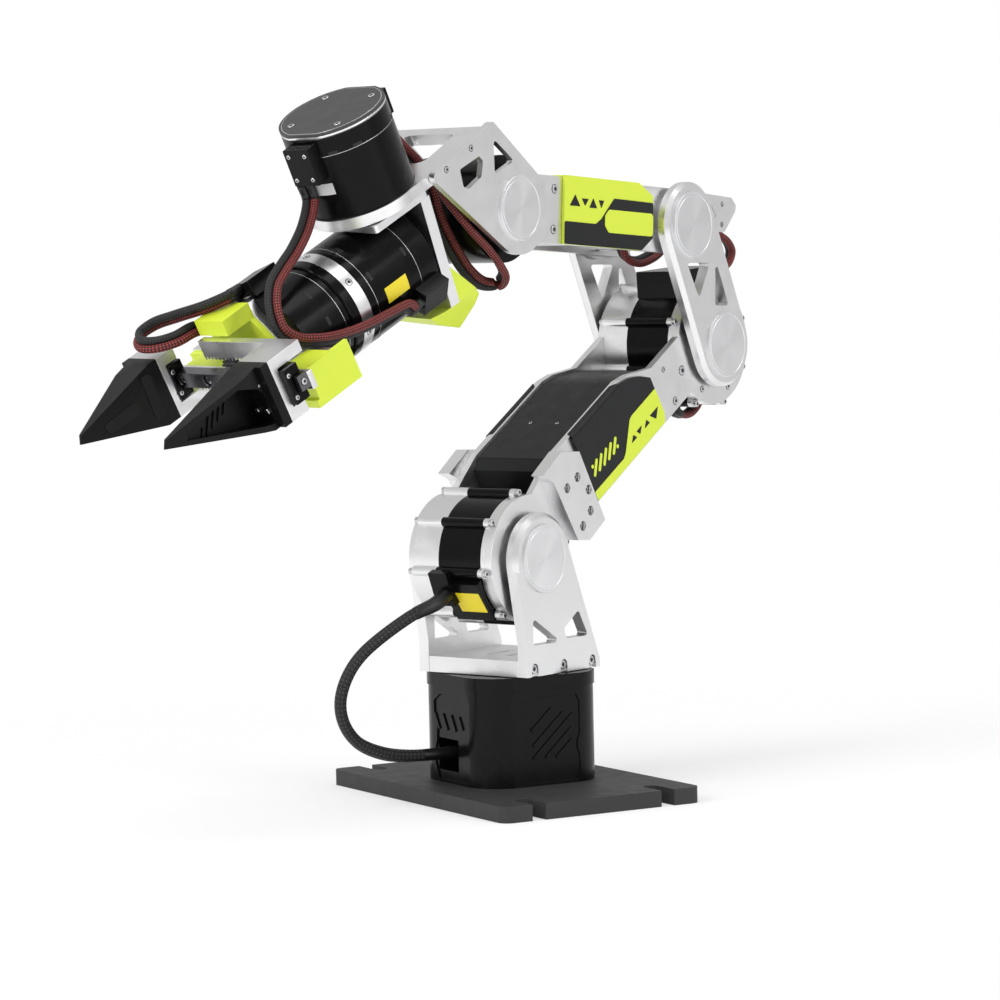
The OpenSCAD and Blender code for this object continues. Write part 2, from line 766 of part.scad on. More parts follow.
// Point of an involute at an angle of unwinding
function involute(r, a) = [r * (cos(a) + a * PI / 180 * sin(a)), r * (sin(a) - a * PI / 180 * cos(a))];
function turned(p, a) = [p[0] * cos(a) - p[1] * sin(a), p[0] * sin(a) + p[1] * cos(a)];
pressure = 20;
play = 0.12;                     // each flank stands back by this much
tip_r = pitch_r + gear_m - 0.1;
foot_r = pitch_r - 1.2 * gear_m;
base_r = pitch_r * cos(pressure);
unwind_tip = sqrt(pow(tip_r / base_r, 2) - 1) * 180 / PI;
unwind_pitch = tan(pressure) * 180 / PI;
// Half tooth angle at the base circle
half_tooth = 90 / gear_z + (unwind_pitch - pressure) - play / pitch_r * 180 / PI;

module pinion_outline() {
    steps = 5;
    polygon([for (i = [0:gear_z - 1]) let (mid = i * 360 / gear_z) each concat(
        [turned([foot_r, 0], mid - half_tooth)],
        [for (k = [0:steps]) turned(involute(base_r, unwind_tip * k / steps), mid - half_tooth)],
        [for (k = [steps:-1:0])
            let (p = involute(base_r, unwind_tip * k / steps)) turned([p[0], -p[1]], mid + half_tooth)],
        [turned([foot_r, 0], mid + half_tooth)])]);
}

shaft_r = 2.5;
module pinion() {
    color("#2a2b2f") at_grip() {
        translate([rack_x + 0.2, 0, 0]) rotate([90, 0, 90])
            linear_extrude(rack_t - 0.4) pinion_outline();
        x_disc(shaft_r, base_x + base_t + run_gap, bar_x + bar_t - 0.5);
    }
}

// Rack along +Y: its teeth point down to the pitch line at z = 0
module rack_teeth(from, count, height) {
    tip = gear_m - 0.1;
    foot = 1.2 * gear_m;
    half = rack_pitch / 4 - play;
    w_tip = half - tip * tan(pressure);
    w_foot = half + foot * tan(pressure);
    polygon(concat(
        [for (i = [0:count - 1]) let (y = from + i * rack_pitch) each [
            [y - w_foot, foot], [y - w_tip, -tip], [y + w_tip, -tip], [y + w_foot, foot]]],
        [[from + (count - 1) * rack_pitch + w_foot, height], [from - w_foot, height]]));
}

// ---- jaws ----

jaw_y = jaw_open / 2;            // inner face of a jaw, from the middle
rack_back = 7;                   // teeth of a rack that lie past the pinion
rack_count = 23;                 // teeth of one rack
wall_t = 6.2;                    // walls over and under the carriage

// Jaw block: front plate, the walls over and under the carriage, and the rack behind one wall.
// side is 1 for the left jaw and -1 for the right, up is 1 where the rack lies above the pinion.
module jaw_block(side, up) {
    color("#d3d5d9") at_grip() {
        y0 = side > 0 ? jaw_y : -jaw_y - jaw_w;
        translate([jaw_x, y0, jaw_low]) cube([jaw_front, jaw_w, jaw_h]);
        // wall on the far side of the rack
        translate([car_x + 1, y0, up > 0 ? jaw_low : jaw_top - wall_t])
            cube([jaw_x - car_x - 0.5, jaw_w, wall_t]);
        // wall that carries the rack
        translate([rack_x, y0, up > 0 ? jaw_top - wall_t : jaw_low])
            cube([jaw_x - rack_x + 0.5, jaw_w, wall_t]);
        // rack, with a tooth over the pinion's middle, where the pinion has a gap
        translate([rack_x, 0, up * pitch_r]) rotate([90, 0, 90]) linear_extrude(rack_t)
            mirror([0, up > 0 ? 0 : 1]) mirror([side > 0 ? 0 : 1, 0])
                rack_teeth(-rack_back * rack_pitch, rack_count, rack_high(up) - pitch_r);
    }
}

// Height of a rack's back over the axis
function rack_high(up) = up > 0 ? jaw_top : -jaw_low;

module jaw_block_left() { jaw_block(1, 1); }
module jaw_block_right() { jaw_block(-1, -1); }

module carriage(side) {
    color("#15161a") at_grip() difference() {
        translate([car_x, side > 0 ? jaw_y - 1 : -jaw_y - jaw_w - 4, jaw_mid - car_w / 2])
            cube([car_h, jaw_w + 5, car_w]);
        translate([rail_x - 1, -80, jaw_mid - rail_w / 2 - 0.2])
            cube([rail_h + 1.2, 160, rail_w + 0.4]);
    }
}

module carriage_left() { carriage(1); }
module carriage_right() { carriage(-1); }

finger_base = 5;
finger_wall = 3.5;               // inner wall of a finger
finger_ribs = 5;                 // slanted ribs in its recess
// Wedge finger: flat inner face, and an outer face that slants to a narrow tip round a deep recess
module finger(side) {
    tip_x = front_x + finger_l;
    color("#17181b") at_grip() mirror([0, side > 0 ? 0 : 1, 0]) {
        translate([front_x, jaw_y, jaw_low]) cube([finger_base, jaw_w, jaw_h]);
        difference() {
            intersection() {
                // outline seen from the side
                side_plate(0, 80) polygon([
                    [front_x + 1, jaw_low], [front_x + 8, jaw_low], [tip_x, jaw_mid + 3],
                    [tip_x - 2.5, jaw_mid + 7], [front_x + 5, jaw_top], [front_x + 1, jaw_top]
                ]);
                // outline seen from above
                translate([0, 0, -60]) linear_extrude(120) polygon([
                    [front_x + 1, jaw_y], [tip_x, jaw_y], [tip_x, jaw_y + 1.2],
                    [front_x + 14, jaw_y + jaw_w - 4], [front_x + 1, jaw_y + jaw_w - 4]
                ]);
            }
            side_plate(jaw_y + finger_wall, 80) polygon([
                [front_x + 6, -11], [front_x + 9, -11], [tip_x - 11, jaw_mid + 1.5],
                [tip_x - 12, jaw_mid + 5.5], [front_x + 18, 13.5], [front_x + 9, 9], [front_x + 6, 5]
            ]);
        }
        for (i = [0:finger_ribs - 1])
            side_plate(jaw_y + finger_wall - 0.5, 1.5) translate([tip_x - 18.5 - i * 4.5, i * 1.2 - 1.8])
                rotate(125) square([7 + i * 2, 1.4]);
    }
}

module finger_left() { finger(1); }
module finger_right() { finger(-1); }

// ---- cables ----

cable_r = 3.2;
cable_sides = 10;
function unit(v) = v / norm(v);
// Direction of a route at its point i
function heading(p, i) = unit(p[min(i + 1, len(p) - 1)] - p[max(i - 1, 0)]);
function ring(c, t, up, r) =
    let (a = unit(cross(up, t)), b = cross(t, a))
    [for (k = [0:cable_sides - 1]) let (w = k * 360 / cable_sides) c + r * (cos(w) * a + sin(w) * b)];

// Tube along a route, with one ring at each point; up is never along the route
module cable(p, up, r = cable_r) {
    m = cable_sides;
    last = (len(p) - 1) * m;
    color("#141416") polyhedron(
        points = [for (i = [0:len(p) - 1]) each ring(p[i], heading(p, i), up, r)],
        faces = concat(
            [[for (k = [0:m - 1]) k]],
            [for (i = [0:m:last - m], k = [0:m - 1]) let (l = (k + 1) % m)
                each [[i + k, i + m + k, i + m + l], [i + k, i + m + l, i + l]]],
            [[for (k = [m - 1:-1:0]) last + k]]));
}

// From the outlet of the housing, out to the front and up to the shoulder motor
base_route = [
    [13.5, -3.5, 25], [61, -3.5, 25], [78, -2, 28], [93, 0, 35], [103, 4, 46], [107, 8, 58],
    [105, 12, 71], [97, 15, 83], [72, 21, 101], [57.3, 21.4, 106.6], [48.6, 18, 110.4]
];
// Upper arm, from the elbow: a short loop under the elbow motor
upper_route = [
    [17.8, 0, -28.5], [19.6, 0, -31.4], [16.4, 0, -36.7], [11.2, 0, -40.2], [5.6, 0, -41.3],
    [-0.6, 0, -40.3], [-6.1, 0, -36.3], [-5.6, 0, -33.1]
];
// Arm: from the elbow motor's connector in a loop to the rear, then in the forearm to the wrist motor
elbow_route = [
    [-171.3, 4, 272], [-184, 4, 272.9], [-200, 1, 275], [-210, 0, 279], [-213.5, 0, 286],
    [-208, 0, 293], [-195, -2, 298], [-178, -3, 299], [-162, -2, 296], [-148, -1, 290],
    [-136, 0, 284.5], [-122, 0, 281.5], [-111, 0, 284.5], [-106, 0, 292], [-94, 0, 300],
    [-20, 0, 310.9], [-0.6, 0, 311.1]
];
// Wrist: from the yaw motor down through the bridge, round in a loop and back up
wrist_route = [
    [38, 0, 75.7], [37.5, 0, 66], [33, 1, 54], [28, 3, 41], [29, 6, 27], [32.5, 8, 13],
    [32, 10, -5], [27, 10, -22], [20, 11, -33], [15, 16, -36], [17, 24, -30], [21, 27.2, -21],
    [25, 27.2, -10], [33, 26, 8], [37, 21.5, 28], [37, 20.5, 41.6]
];
// Roll unit: from the yaw motor's front, round the gripper motor and back to the roll motor
tool_route = [
    [32, 0, 62.2], [32, 0, 54], [43, 4, 46], [60, 10, 41], [75, 15, 39], [87, 19, 36],
    [95, 23, 28], [98, 27, 18], [94, 30, 11], [86, 32.5, 6], [72, 33, 0], [54, 32.5, -5],
    [36, 32, -8], [22, 31, -11], [17, 28, -16], [11.3, 28, -16]
];
// Gripper: a loop forward from the gripper motor's upper connector and back to the base plate
gripper_route = [
    [85.3, -9, 31.2], [93, -9, 32], [102, -17, 31.5], [110, -32, 30.5], [117, -44, 29.5],
    [126, -46, 28.5], [132, -39, 27], [130, -31, 25.5], [121, -26, 23.5], [109, -25, 22.4],
    [101, -25, 19.5], [94.3, -25, 19]
];

module base_cable() { cable(base_route, [0, 1, 0]); }
module upper_cable() { at_upper() cable(upper_route, [0, 1, 0]); }
module elbow_cable() { at_arm() cable(elbow_route, [0, 1, 0]); }
module wrist_cable() { at_wrist() cable(wrist_route, [0, 1, 0]); }
module tool_cable() { at_roll() cable(tool_route, [0, 1, 0]); }
module gripper_cable() { at_grip() cable(gripper_route, [0, 0, 1]); }

base_plate();
base_housing();
housing_lid();
yaw_hub();
fork_base();
fork_side_left();
fork_side_right();
shoulder_caps();
shoulder_motor_cap();
shoulder_motor_body();
shoulder_motor_flange();
shoulder_connector();
upper_plate_left();
upper_plate_right();
stop_blocks();
upper_panels();
upper_covers();
elbow_motor_cap();
elbow_motor_body();
elbow_motor_flange();
elbow_connector();
elbow_link_left();
elbow_link_right();
elbow_caps();
forearm_plate_left();
forearm_plate_right();
forearm_cover();
forearm_spacers();
wrist_motor();
wrist_plate_left();
wrist_plate_right();
wrist_caps();
bridge_ring();
yaw_motor();
yaw_motor_top();
yaw_connectors();
yaw_bracket();
bracket_guard();
roll_motor();
roll_connector();
coupling_ring();
gripper_motor();
gripper_connector();
gripper_base();
rail_bar();
rail();
gripper_guards();
pinion();
jaw_block_left();
carriage_left();
finger_left();
jaw_block_right();
carriage_right();
finger_right();
base_cable();
upper_cable();
elbow_cable();
wrist_cable();
tool_cable();
gripper_cable();
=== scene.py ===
"""Looks of the six-axis desktop robot arm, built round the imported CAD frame.

Camera, lights and frames are in metres. Lengths in the piece builders are millimetres in the local frame of
the link they belong to, and angles that are named in degrees are turned into radians where they are used.
"""

import json
import math

import bmesh
import bpy
from mathutils import Matrix, Vector

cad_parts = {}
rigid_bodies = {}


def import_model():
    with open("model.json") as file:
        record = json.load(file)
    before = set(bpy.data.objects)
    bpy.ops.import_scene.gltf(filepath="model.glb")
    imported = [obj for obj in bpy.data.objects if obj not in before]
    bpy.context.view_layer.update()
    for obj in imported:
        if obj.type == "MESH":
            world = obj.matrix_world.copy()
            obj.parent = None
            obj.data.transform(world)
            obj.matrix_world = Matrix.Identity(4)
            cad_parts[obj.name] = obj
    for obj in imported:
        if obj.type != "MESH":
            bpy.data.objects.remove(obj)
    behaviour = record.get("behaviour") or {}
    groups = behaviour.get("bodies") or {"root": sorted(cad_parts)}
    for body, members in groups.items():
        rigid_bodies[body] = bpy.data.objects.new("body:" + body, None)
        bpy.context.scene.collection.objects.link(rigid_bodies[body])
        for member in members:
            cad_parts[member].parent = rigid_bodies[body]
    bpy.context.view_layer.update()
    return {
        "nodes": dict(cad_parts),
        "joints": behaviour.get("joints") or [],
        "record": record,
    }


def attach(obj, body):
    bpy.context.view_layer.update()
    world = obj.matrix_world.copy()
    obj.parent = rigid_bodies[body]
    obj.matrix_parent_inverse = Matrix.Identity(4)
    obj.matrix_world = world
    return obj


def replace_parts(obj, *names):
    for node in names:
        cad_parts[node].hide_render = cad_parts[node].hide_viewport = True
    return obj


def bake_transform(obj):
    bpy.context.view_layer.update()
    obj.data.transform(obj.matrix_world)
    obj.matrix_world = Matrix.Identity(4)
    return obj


for leftover in list(bpy.data.objects):
    bpy.data.objects.remove(leftover)

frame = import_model()
NODES = frame["nodes"]
MM = 0.001

# ---------------------------------------------------------------- camera and studio

CAMERA_PLACE = Vector((1.0274, 1.7430, 0.2920))
CAMERA_AIM = Vector((0.0029, -0.0017, 0.1571))
CAMERA_ROLL = -1.26  # degrees
CAMERA_LENS = 137.25
PAPER_WHITE = (0.93, 0.93, 0.935, 1)
FLOOR_RADIUS = 8
FADE_START, FADE_END = 0.12, 0.65  # distances from the base between which the seen paper turns white
FADE_LEAST = 0.4  # share of white right at the base
WORLD_LIGHT = 0.62
SOFTBOXES = (  # name, place, aim, width and height, watts
    ("key", (1.9, 0.35, 1.2), (0, 0, 0.2), (0.8, 1.6), 24),
    ("side", (-0.8, 1.9, 0.9), (0, 0, 0.2), (0.7, 1.6), 12),
    ("top", (0, 0.3, 2.2), (0, 0, 0), (1.6, 1.2), 14),
)


def make_camera():
    data = bpy.data.cameras.new("camera")
    data.lens = CAMERA_LENS
    data.sensor_width = 36
    data.clip_start = 0.05
    data.clip_end = 60
    camera = bpy.data.objects.new("camera", data)
    bpy.context.scene.collection.objects.link(camera)
    camera.location = CAMERA_PLACE
    aim = (CAMERA_AIM - CAMERA_PLACE).to_track_quat("-Z", "Y")
    camera.rotation_mode = "QUATERNION"
    camera.rotation_quaternion = aim @ Matrix.Rotation(math.radians(CAMERA_ROLL), 4, "Z").to_quaternion()
    bpy.context.scene.camera = camera


def softbox(name, place, aim, size, power):
    data = bpy.data.lights.new(name, "AREA")
    data.shape = "RECTANGLE"
    data.size, data.size_y = size
    data.energy = power
    light = bpy.data.objects.new(name, data)
    bpy.context.scene.collection.objects.link(light)
    light.location = place
    light.rotation_mode = "QUATERNION"
    light.rotation_quaternion = (Vector(aim) - Vector(place)).to_track_quat("-Z", "Y")


def make_paper():
    """Floor paper: a diffuse surface that takes the shadow, and that the camera sees as white further out."""
    material = bpy.data.materials.new("paper")
    material.use_nodes = True
    tree = material.node_tree
    shader = tree.nodes["Principled BSDF"]
    shader.inputs["Base Color"].default_value = PAPER_WHITE
    shader.inputs["Roughness"].default_value = 0.9
    shader.inputs["Specular IOR Level"].default_value = 0.1
    white = tree.nodes.new("ShaderNodeEmission")
    white.inputs["Strength"].default_value = 1
    coordinates = tree.nodes.new("ShaderNodeTexCoord")
    length = tree.nodes.new("ShaderNodeVectorMath")
    length.operation = "LENGTH"
    fade = tree.nodes.new("ShaderNodeMapRange")
    fade.interpolation_type = "SMOOTHERSTEP"
    fade.inputs["From Min"].default_value = FADE_START
    fade.inputs["From Max"].default_value = FADE_END
    fade.inputs["To Min"].default_value = FADE_LEAST
    path = tree.nodes.new("ShaderNodeLightPath")
    seen = tree.nodes.new("ShaderNodeMath")
    seen.operation = "MULTIPLY"
    mix = tree.nodes.new("ShaderNodeMixShader")
    tree.links.new(coordinates.outputs["Object"], length.inputs[0])
    tree.links.new(length.outputs["Value"], fade.inputs["Value"])
    tree.links.new(fade.outputs["Result"], seen.inputs[0])
    tree.links.new(path.outputs["Is Camera Ray"], seen.inputs[1])
    tree.links.new(seen.outputs[0], mix.inputs[0])
    tree.links.new(shader.outputs[0], mix.inputs[1])
    tree.links.new(white.outputs[0], mix.inputs[2])
    tree.links.new(mix.outputs[0], tree.nodes["Material Output"].inputs["Surface"])
    return material


def make_studio():
    """White world that only the camera sees as such, three softboxes and the floor."""
    scene = bpy.context.scene
    scene.view_settings.view_transform = "Standard"
    world = bpy.data.worlds.new("studio")
    scene.world = world
    world.use_nodes = True
    tree = world.node_tree
    tree.nodes.clear()
    out = tree.nodes.new("ShaderNodeOutputWorld")
    mix = tree.nodes.new("ShaderNodeMixShader")
    lighting = tree.nodes.new("ShaderNodeBackground")
    shown = tree.nodes.new("ShaderNodeBackground")
    path = tree.nodes.new("ShaderNodeLightPath")
    lighting.inputs["Strength"].default_value = WORLD_LIGHT
    shown.inputs["Strength"].default_value = 1
    for background in (lighting, shown):
        background.inputs["Color"].default_value = (1, 1, 1, 1)
    tree.links.new(path.outputs["Is Camera Ray"], mix.inputs[0])
    tree.links.new(lighting.outputs[0], mix.inputs[1])
    tree.links.new(shown.outputs[0], mix.inputs[2])
    tree.links.new(mix.outputs[0], out.inputs["Surface"])

    for box in SOFTBOXES:
        softbox(*box)

    data = bpy.data.meshes.new("floor")
    bm = bmesh.new()
    bmesh.ops.create_circle(bm, cap_ends=True, segments=64, radius=FLOOR_RADIUS)
    bm.to_mesh(data)
    bm.free()
    floor = bpy.data.objects.new("floor", data)
    scene.collection.objects.link(floor)
    data.materials.append(make_paper())


make_camera()
make_studio()

# ---------------------------------------------------------------- local frames

JOINTS = {j["name"]: j for j in frame["joints"]}
UP = Vector((0, 0, 1))
LINK_L = 73.2  # elbow axis to the forearm's rear cap, in millimetres
LINK_TILT = math.radians(65.6)


def joint_place(name):
    return Vector(JOINTS[name]["pos_m"])


def joint_axis(name):
    return Vector(JOINTS[name]["axis"]).normalized()


def frame_of(origin, x, y):
    """Frame at origin with these directions of x and y, which are at right angles."""
    x, y = x.normalized(), y.normalized()
    z = x.cross(y)
    return Matrix.Translation(origin) @ Matrix((x, y, z)).transposed().to_4x4()


ARM_Y = joint_axis("shoulder_pitch")
ARM_X = ARM_Y.cross(UP)
SHOULDER = joint_place("shoulder_pitch")
ELBOW = joint_place("elbow_pitch")
WRIST = joint_place("wrist_pitch")
REAR = ELBOW + LINK_L * MM * (math.cos(LINK_TILT) * ARM_X + math.sin(LINK_TILT) * UP)
YAW_Z = joint_axis("wrist_yaw")
ROLL_X = joint_axis("tool_roll")
JAW_AXIS = joint_axis("jaw_right_slide")

AT_ROW = Matrix.Identity(4)  # the shared frame itself
AT_ARM = frame_of(Vector((0, 0, 0)), ARM_X, ARM_Y)
AT_SHOULDER = frame_of(SHOULDER, ARM_X, ARM_Y)
AT_ELBOW = frame_of(ELBOW, ARM_X, ARM_Y)
AT_UPPER = frame_of(ELBOW, SHOULDER - ELBOW, ARM_Y)
AT_LINK = frame_of(ELBOW, REAR - ELBOW, ARM_Y)
AT_FORE = frame_of(REAR, WRIST - REAR, ARM_Y)
AT_WRIST = frame_of(WRIST, ARM_Y.cross(YAW_Z), ARM_Y)
AT_ROLL = frame_of(joint_place("tool_roll"), ROLL_X, YAW_Z.cross(ROLL_X))
AT_GRIP = frame_of(joint_place("tool_roll"), ROLL_X, JAW_AXIS)

# ---------------------------------------------------------------- materials


class Shade:
    """A principled material with short calls for its procedural parts."""

    def __init__(self, name, colour, roughness, metallic=0.0, specular=0.5):
        self.material = bpy.data.materials.new(name)
        self.material.use_nodes = True
        self.tree = self.material.node_tree
        self.shader = self.tree.nodes["Principled BSDF"]
        self.set("Base Color", (*colour, 1))
        self.set("Roughness", roughness)
        self.set("Metallic", metallic)
        self.set("Specular IOR Level", specular)
        self.colour = colour

    def set(self, socket, value):
        self.shader.inputs[socket].default_value = value

    def node(self, kind, **settings):
        """New node; a setting names one of its sockets or, if it has none so called, a property."""
        made = self.tree.nodes.new(kind)
        for key, value in settings.items():
            if key in made.inputs:
                made.inputs[key].default_value = value
            else:
                setattr(made, key, value)
        return made

    def link(self, a, b):
        self.tree.links.new(a, b)

    def coordinates(self):
        return self.node("ShaderNodeTexCoord").outputs["Object"]

    def noise(self, size, detail=3.0):
        """Noise whose grains are about size millimetres across."""
        made = self.node("ShaderNodeTexNoise", Scale=1 / (size * MM), Detail=detail)
        self.link(self.coordinates(), made.inputs["Vector"])
        return made.outputs["Fac"]

    def roughen(self, size):
        """A faint grain, so that even the painted shade of the darkest recess isn't one flat tone."""
        return self.vary_colour(self.noise(size, 2), 0.8, 1.2)

    def vary_colour(self, factor, low, high):
        """Colour that runs from low to high times the base colour."""
        ramp = self.node("ShaderNodeMix", data_type="RGBA")
        self.link(factor, ramp.inputs["Factor"])
        result = [s for s in ramp.outputs if s.type == "RGBA"][0]
        a, b = [s for s in ramp.inputs if s.type == "RGBA"]
        a.default_value = (*[c * low for c in self.colour], 1)
        b.default_value = (*[min(1, c * high) for c in self.colour], 1)
        self.link(result, self.shader.inputs["Base Color"])
        return self

    def vary_roughness(self, factor, low, high):
        """Roughness that runs from low to high over the middle of a noise."""
        span = self.node("ShaderNodeMapRange")
        span.inputs["From Min"].default_value = 0.3
        span.inputs["From Max"].default_value = 0.7
        span.inputs["To Min"].default_value = low
        span.inputs["To Max"].default_value = high
        self.link(factor, span.inputs["Value"])
        self.link(span.outputs["Result"], self.shader.inputs["Roughness"])
        return self

    def bump(self, height, depth):
        """Relief of about depth millimetres."""
        made = self.node("ShaderNodeBump", Strength=1.0, Distance=depth * MM)
        self.link(height, made.inputs["Height"])
        self.link(made.outputs["Normal"], self.shader.inputs["Normal"])
        return self


def satin(name, colour, roughness, metallic, grain, depth, spread=0.06, specular=0.5):
    """Blasted or moulded surface: fine grain, and broad faint patches in colour and gloss."""
    s = Shade(name, colour, roughness, metallic, specular)
    s.vary_colour(s.noise(38, 4), 1 - spread, 1 + spread)
    s.vary_roughness(s.noise(9, 5), roughness - 0.05, roughness + 0.06)
    s.bump(s.noise(grain, 2), depth)
    return s


SILVER = satin("silver_anodised", (0.83, 0.83, 0.835), 0.32, 1.0, 0.35, 0.006, 0.03).material
BLACK_METAL = satin("black_anodised", (0.003, 0.003, 0.0034), 0.2, 0.0, 0.5, 0.004, 0.15, 0.14).material
BLACK_PLASTIC = satin("black_moulding", (0.004, 0.004, 0.0048), 0.22, 0.0, 0.6, 0.008, 0.12, 0.15).material
COVER_BLACK = satin("cover_black", (0.014, 0.0145, 0.0155), 0.42, 0.0, 0.6, 0.010, 0.10, 0.2).material
TOP_BLACK = satin("top_black", (0.045, 0.045, 0.047), 0.5, 0.0, 0.5, 0.010, 0.10, 0.4).material
LIME = satin("lime_moulding", (0.66, 0.79, 0.048), 0.42, 0.0, 0.7, 0.012, 0.03).material
POWDER = satin("powder_coat", (0.034, 0.0345, 0.0355), 0.55, 0.0, 0.45, 0.03, 0.15, 0.3).material
STEEL = satin("screw_steel", (0.62, 0.62, 0.63), 0.26, 1.0, 0.4, 0.004, 0.05).material
RAIL_STEEL = satin("rail_steel", (0.16, 0.16, 0.17), 0.30, 1.0, 0.4, 0.004, 0.05).material
FINGER_BLACK = satin("finger_black", (0.004, 0.004, 0.0045), 0.34, 0.0, 0.5, 0.012, 0.12, 0.18).material
PAD_BLACK = satin("pad_rubber", (0.009, 0.009, 0.010), 0.6, 0.0, 0.5, 0.02, 0.12, 0.2).material
YELLOW = satin("sticker_yellow", (0.86, 0.70, 0.02), 0.4, 0.0, 0.5, 0.003, 0.03).material
LABEL = satin("label_grey", (0.60, 0.60, 0.61), 0.5, 0.0, 0.5, 0.003, 0.03).material
# Painted shade: near black for the sockets and feet of the screw heads and for the notches on the motors,
# where the dark is only shade.
PAINTED_SHADE = Shade("painted_recess_shade", (0.006, 0.006, 0.006), 0.6).roughen(0.8).material


def turned(name):
    """Aluminium faced on a lathe: fine rings round the piece's own Z, which stretch its highlights."""
    s = Shade(name, (0.84, 0.84, 0.85), 0.32, 1.0)
    s.set("Anisotropic", 0.85)
    tangent = s.node("ShaderNodeTangent", direction_type="RADIAL", axis="Z")
    s.link(tangent.outputs["Tangent"], s.shader.inputs["Tangent"])
    rings = s.node("ShaderNodeTexWave", Scale=420.0)
    rings.wave_type = "RINGS"
    rings.rings_direction = "Z"
    s.link(s.coordinates(), rings.inputs["Vector"])
    s.vary_colour(rings.outputs["Fac"], 0.95, 1.03)
    s.bump(rings.outputs["Fac"], 0.004)
    return s.material


TURNED = turned("turned_aluminium")

SLOT_LOOKS = {
    "silver_aluminium": SILVER,
    "black_anodised": BLACK_METAL,
    "black_plastic": BLACK_PLASTIC,
    "light_plastic": TURNED,
    "lime_plastic": LIME,
    "dark_paint": POWDER,
    "steel": STEEL,
    "black_rubber": FINGER_BLACK,
    "cable_braid": BLACK_PLASTIC,
}
NODE_LOOKS = {
    "upper_covers": COVER_BLACK, "upper_panels": COVER_BLACK, "yaw_motor_top": TOP_BLACK,
    "rail": RAIL_STEEL, "pinion": RAIL_STEEL,
}

# ---------------------------------------------------------------- CAD nodes

EDGE = 0.35  # how far most edges are rounded
SMALL_EDGE = {
    "wrist_plate_left": 0.7, "wrist_plate_right": 0.7, "rail": 0.2,
    "jaw_block_left": 0.15, "jaw_block_right": 0.15, "pinion": 0.08,
}
SAME_PLACE = 1e-6  # metres within which two vertices are one


def soften(piece, width, angle=32):
    """Rounds the sharp edges and shades the faces smoothly."""
    weld = piece.modifiers.new("weld", "WELD")
    weld.merge_threshold = SAME_PLACE
    bevel = piece.modifiers.new("edges", "BEVEL")
    bevel.width = width * MM
    bevel.segments = 2
    bevel.limit_method = "ANGLE"
    bevel.angle_limit = math.radians(angle)
    bevel.harden_normals = False
    normals = piece.modifiers.new("normals", "WEIGHTED_NORMAL")
    normals.weight = 100
    normals.keep_sharp = False


ON_FACE, ON_OUTLINE = 1e-5, 4e-5  # metres within which a vertex lies on a face or on its outline
FLAT = math.radians(0.8)


def outline_of(points):
    """Convex outline of flat points, counter-clockwise."""
    points = sorted(set(points))

    def half(run):
        """One side of the outline, without its last point."""
        out = []
        for p in run:
            while len(out) > 1 and (out[-1][0] - out[-2][0]) * (p[1] - out[-2][1]) <= (
                out[-1][1] - out[-2][1]
            ) * (p[0] - out[-2][0]):
                out.pop()
            out.append(p)
        return out[:-1]

    return half(points) + half(points[::-1])


def chamfer_outline(piece, at, side, width, low=None):
    """Cuts a broad chamfer on the outer face's outline, above the height low, and leaves its holes."""
    local = [at.inverted() @ v.co for v in piece.data.vertices]
    outer = max(p.y * side for p in local)
    face = [(i, p.x, p.z) for i, p in enumerate(local) if abs(p.y * side - outer) < ON_FACE]
    hull = outline_of([(round(x, 6), round(z, 6)) for _, x, z in face])
    keep = []
    for i, x, z in face:
        if low is not None and z < low * MM:
            continue
        p = Vector((x, z))
        for a, b in zip(hull, hull[1:] + hull[:1]):
            a, b = Vector(a), Vector(b)
            t = max(0, min(1, (p - a).dot(b - a) / (b - a).length_squared))
            if (a + (b - a) * t - p).length < ON_OUTLINE:
                keep.append(i)
                break
    group = piece.vertex_groups.new(name="outline")
    group.add(keep, 1.0, "REPLACE")
    weld = piece.modifiers.new("join", "WELD")
    weld.merge_threshold = SAME_PLACE
    flat = piece.modifiers.new("flat", "DECIMATE")
    flat.decimate_type = "DISSOLVE"
    flat.angle_limit = FLAT
    chamfer = piece.modifiers.new("chamfer", "BEVEL")
    chamfer.limit_method = "VGROUP"
    chamfer.vertex_group = "outline"
    chamfer.width = width * MM
    chamfer.segments = 1
    chamfer.use_clamp_overlap = False
    chamfer.loop_slide = False
    chamfer.miter_outer = "MITER_SHARP"


# node: its frame, the side of its outer face, the chamfer's width and the height that it starts from, if any
BROAD_EDGES = {
    "fork_side_left": (AT_ARM, 1, 2.4, 74.0),
    "fork_side_right": (AT_ARM, -1, 2.4, 74.0),
    "elbow_link_left": (AT_LINK, 1, 2.2),
    "elbow_link_right": (AT_LINK, -1, 2.2),
}


def dress_nodes():
    """Gives each CAD node its material, smooth shading and rounded edges."""
    slots = {s["node"]: s["material_slot"] for s in frame["record"]["subparts"]}
    for name, piece in NODES.items():
        mesh = piece.data
        mesh.materials.clear()
        mesh.materials.append(NODE_LOOKS.get(name, SLOT_LOOKS[slots[name]]))
        if "custom_normal" in mesh.attributes:
            mesh.attributes.remove(mesh.attributes["custom_normal"])
        mesh.shade_smooth()
        if "sharp_edge" in mesh.attributes:
            mesh.attributes.remove(mesh.attributes["sharp_edge"])
        if name in BROAD_EDGES:
            chamfer_outline(piece, *BROAD_EDGES[name])
        soften(piece, SMALL_EDGE.get(name, EDGE))


dress_nodes()

# ---------------------------------------------------------------- mesh helpers

FOOT = -0.05  # what stands on a surface starts this far inside it
SEAM_HALF = 0.14
ROUND = 96  # sides of caps, collars and seams
SCREW_SIDES = 24


def object_of(bm, name, materials):
    """Turns a finished bmesh into an object with these material slots."""
    mesh = bpy.data.meshes.new(name)
    bm.to_mesh(mesh)
    bm.free()
    for material in materials:
        mesh.materials.append(material)
    piece = bpy.data.objects.new(name, mesh)
    bpy.context.scene.collection.objects.link(piece)
    return piece


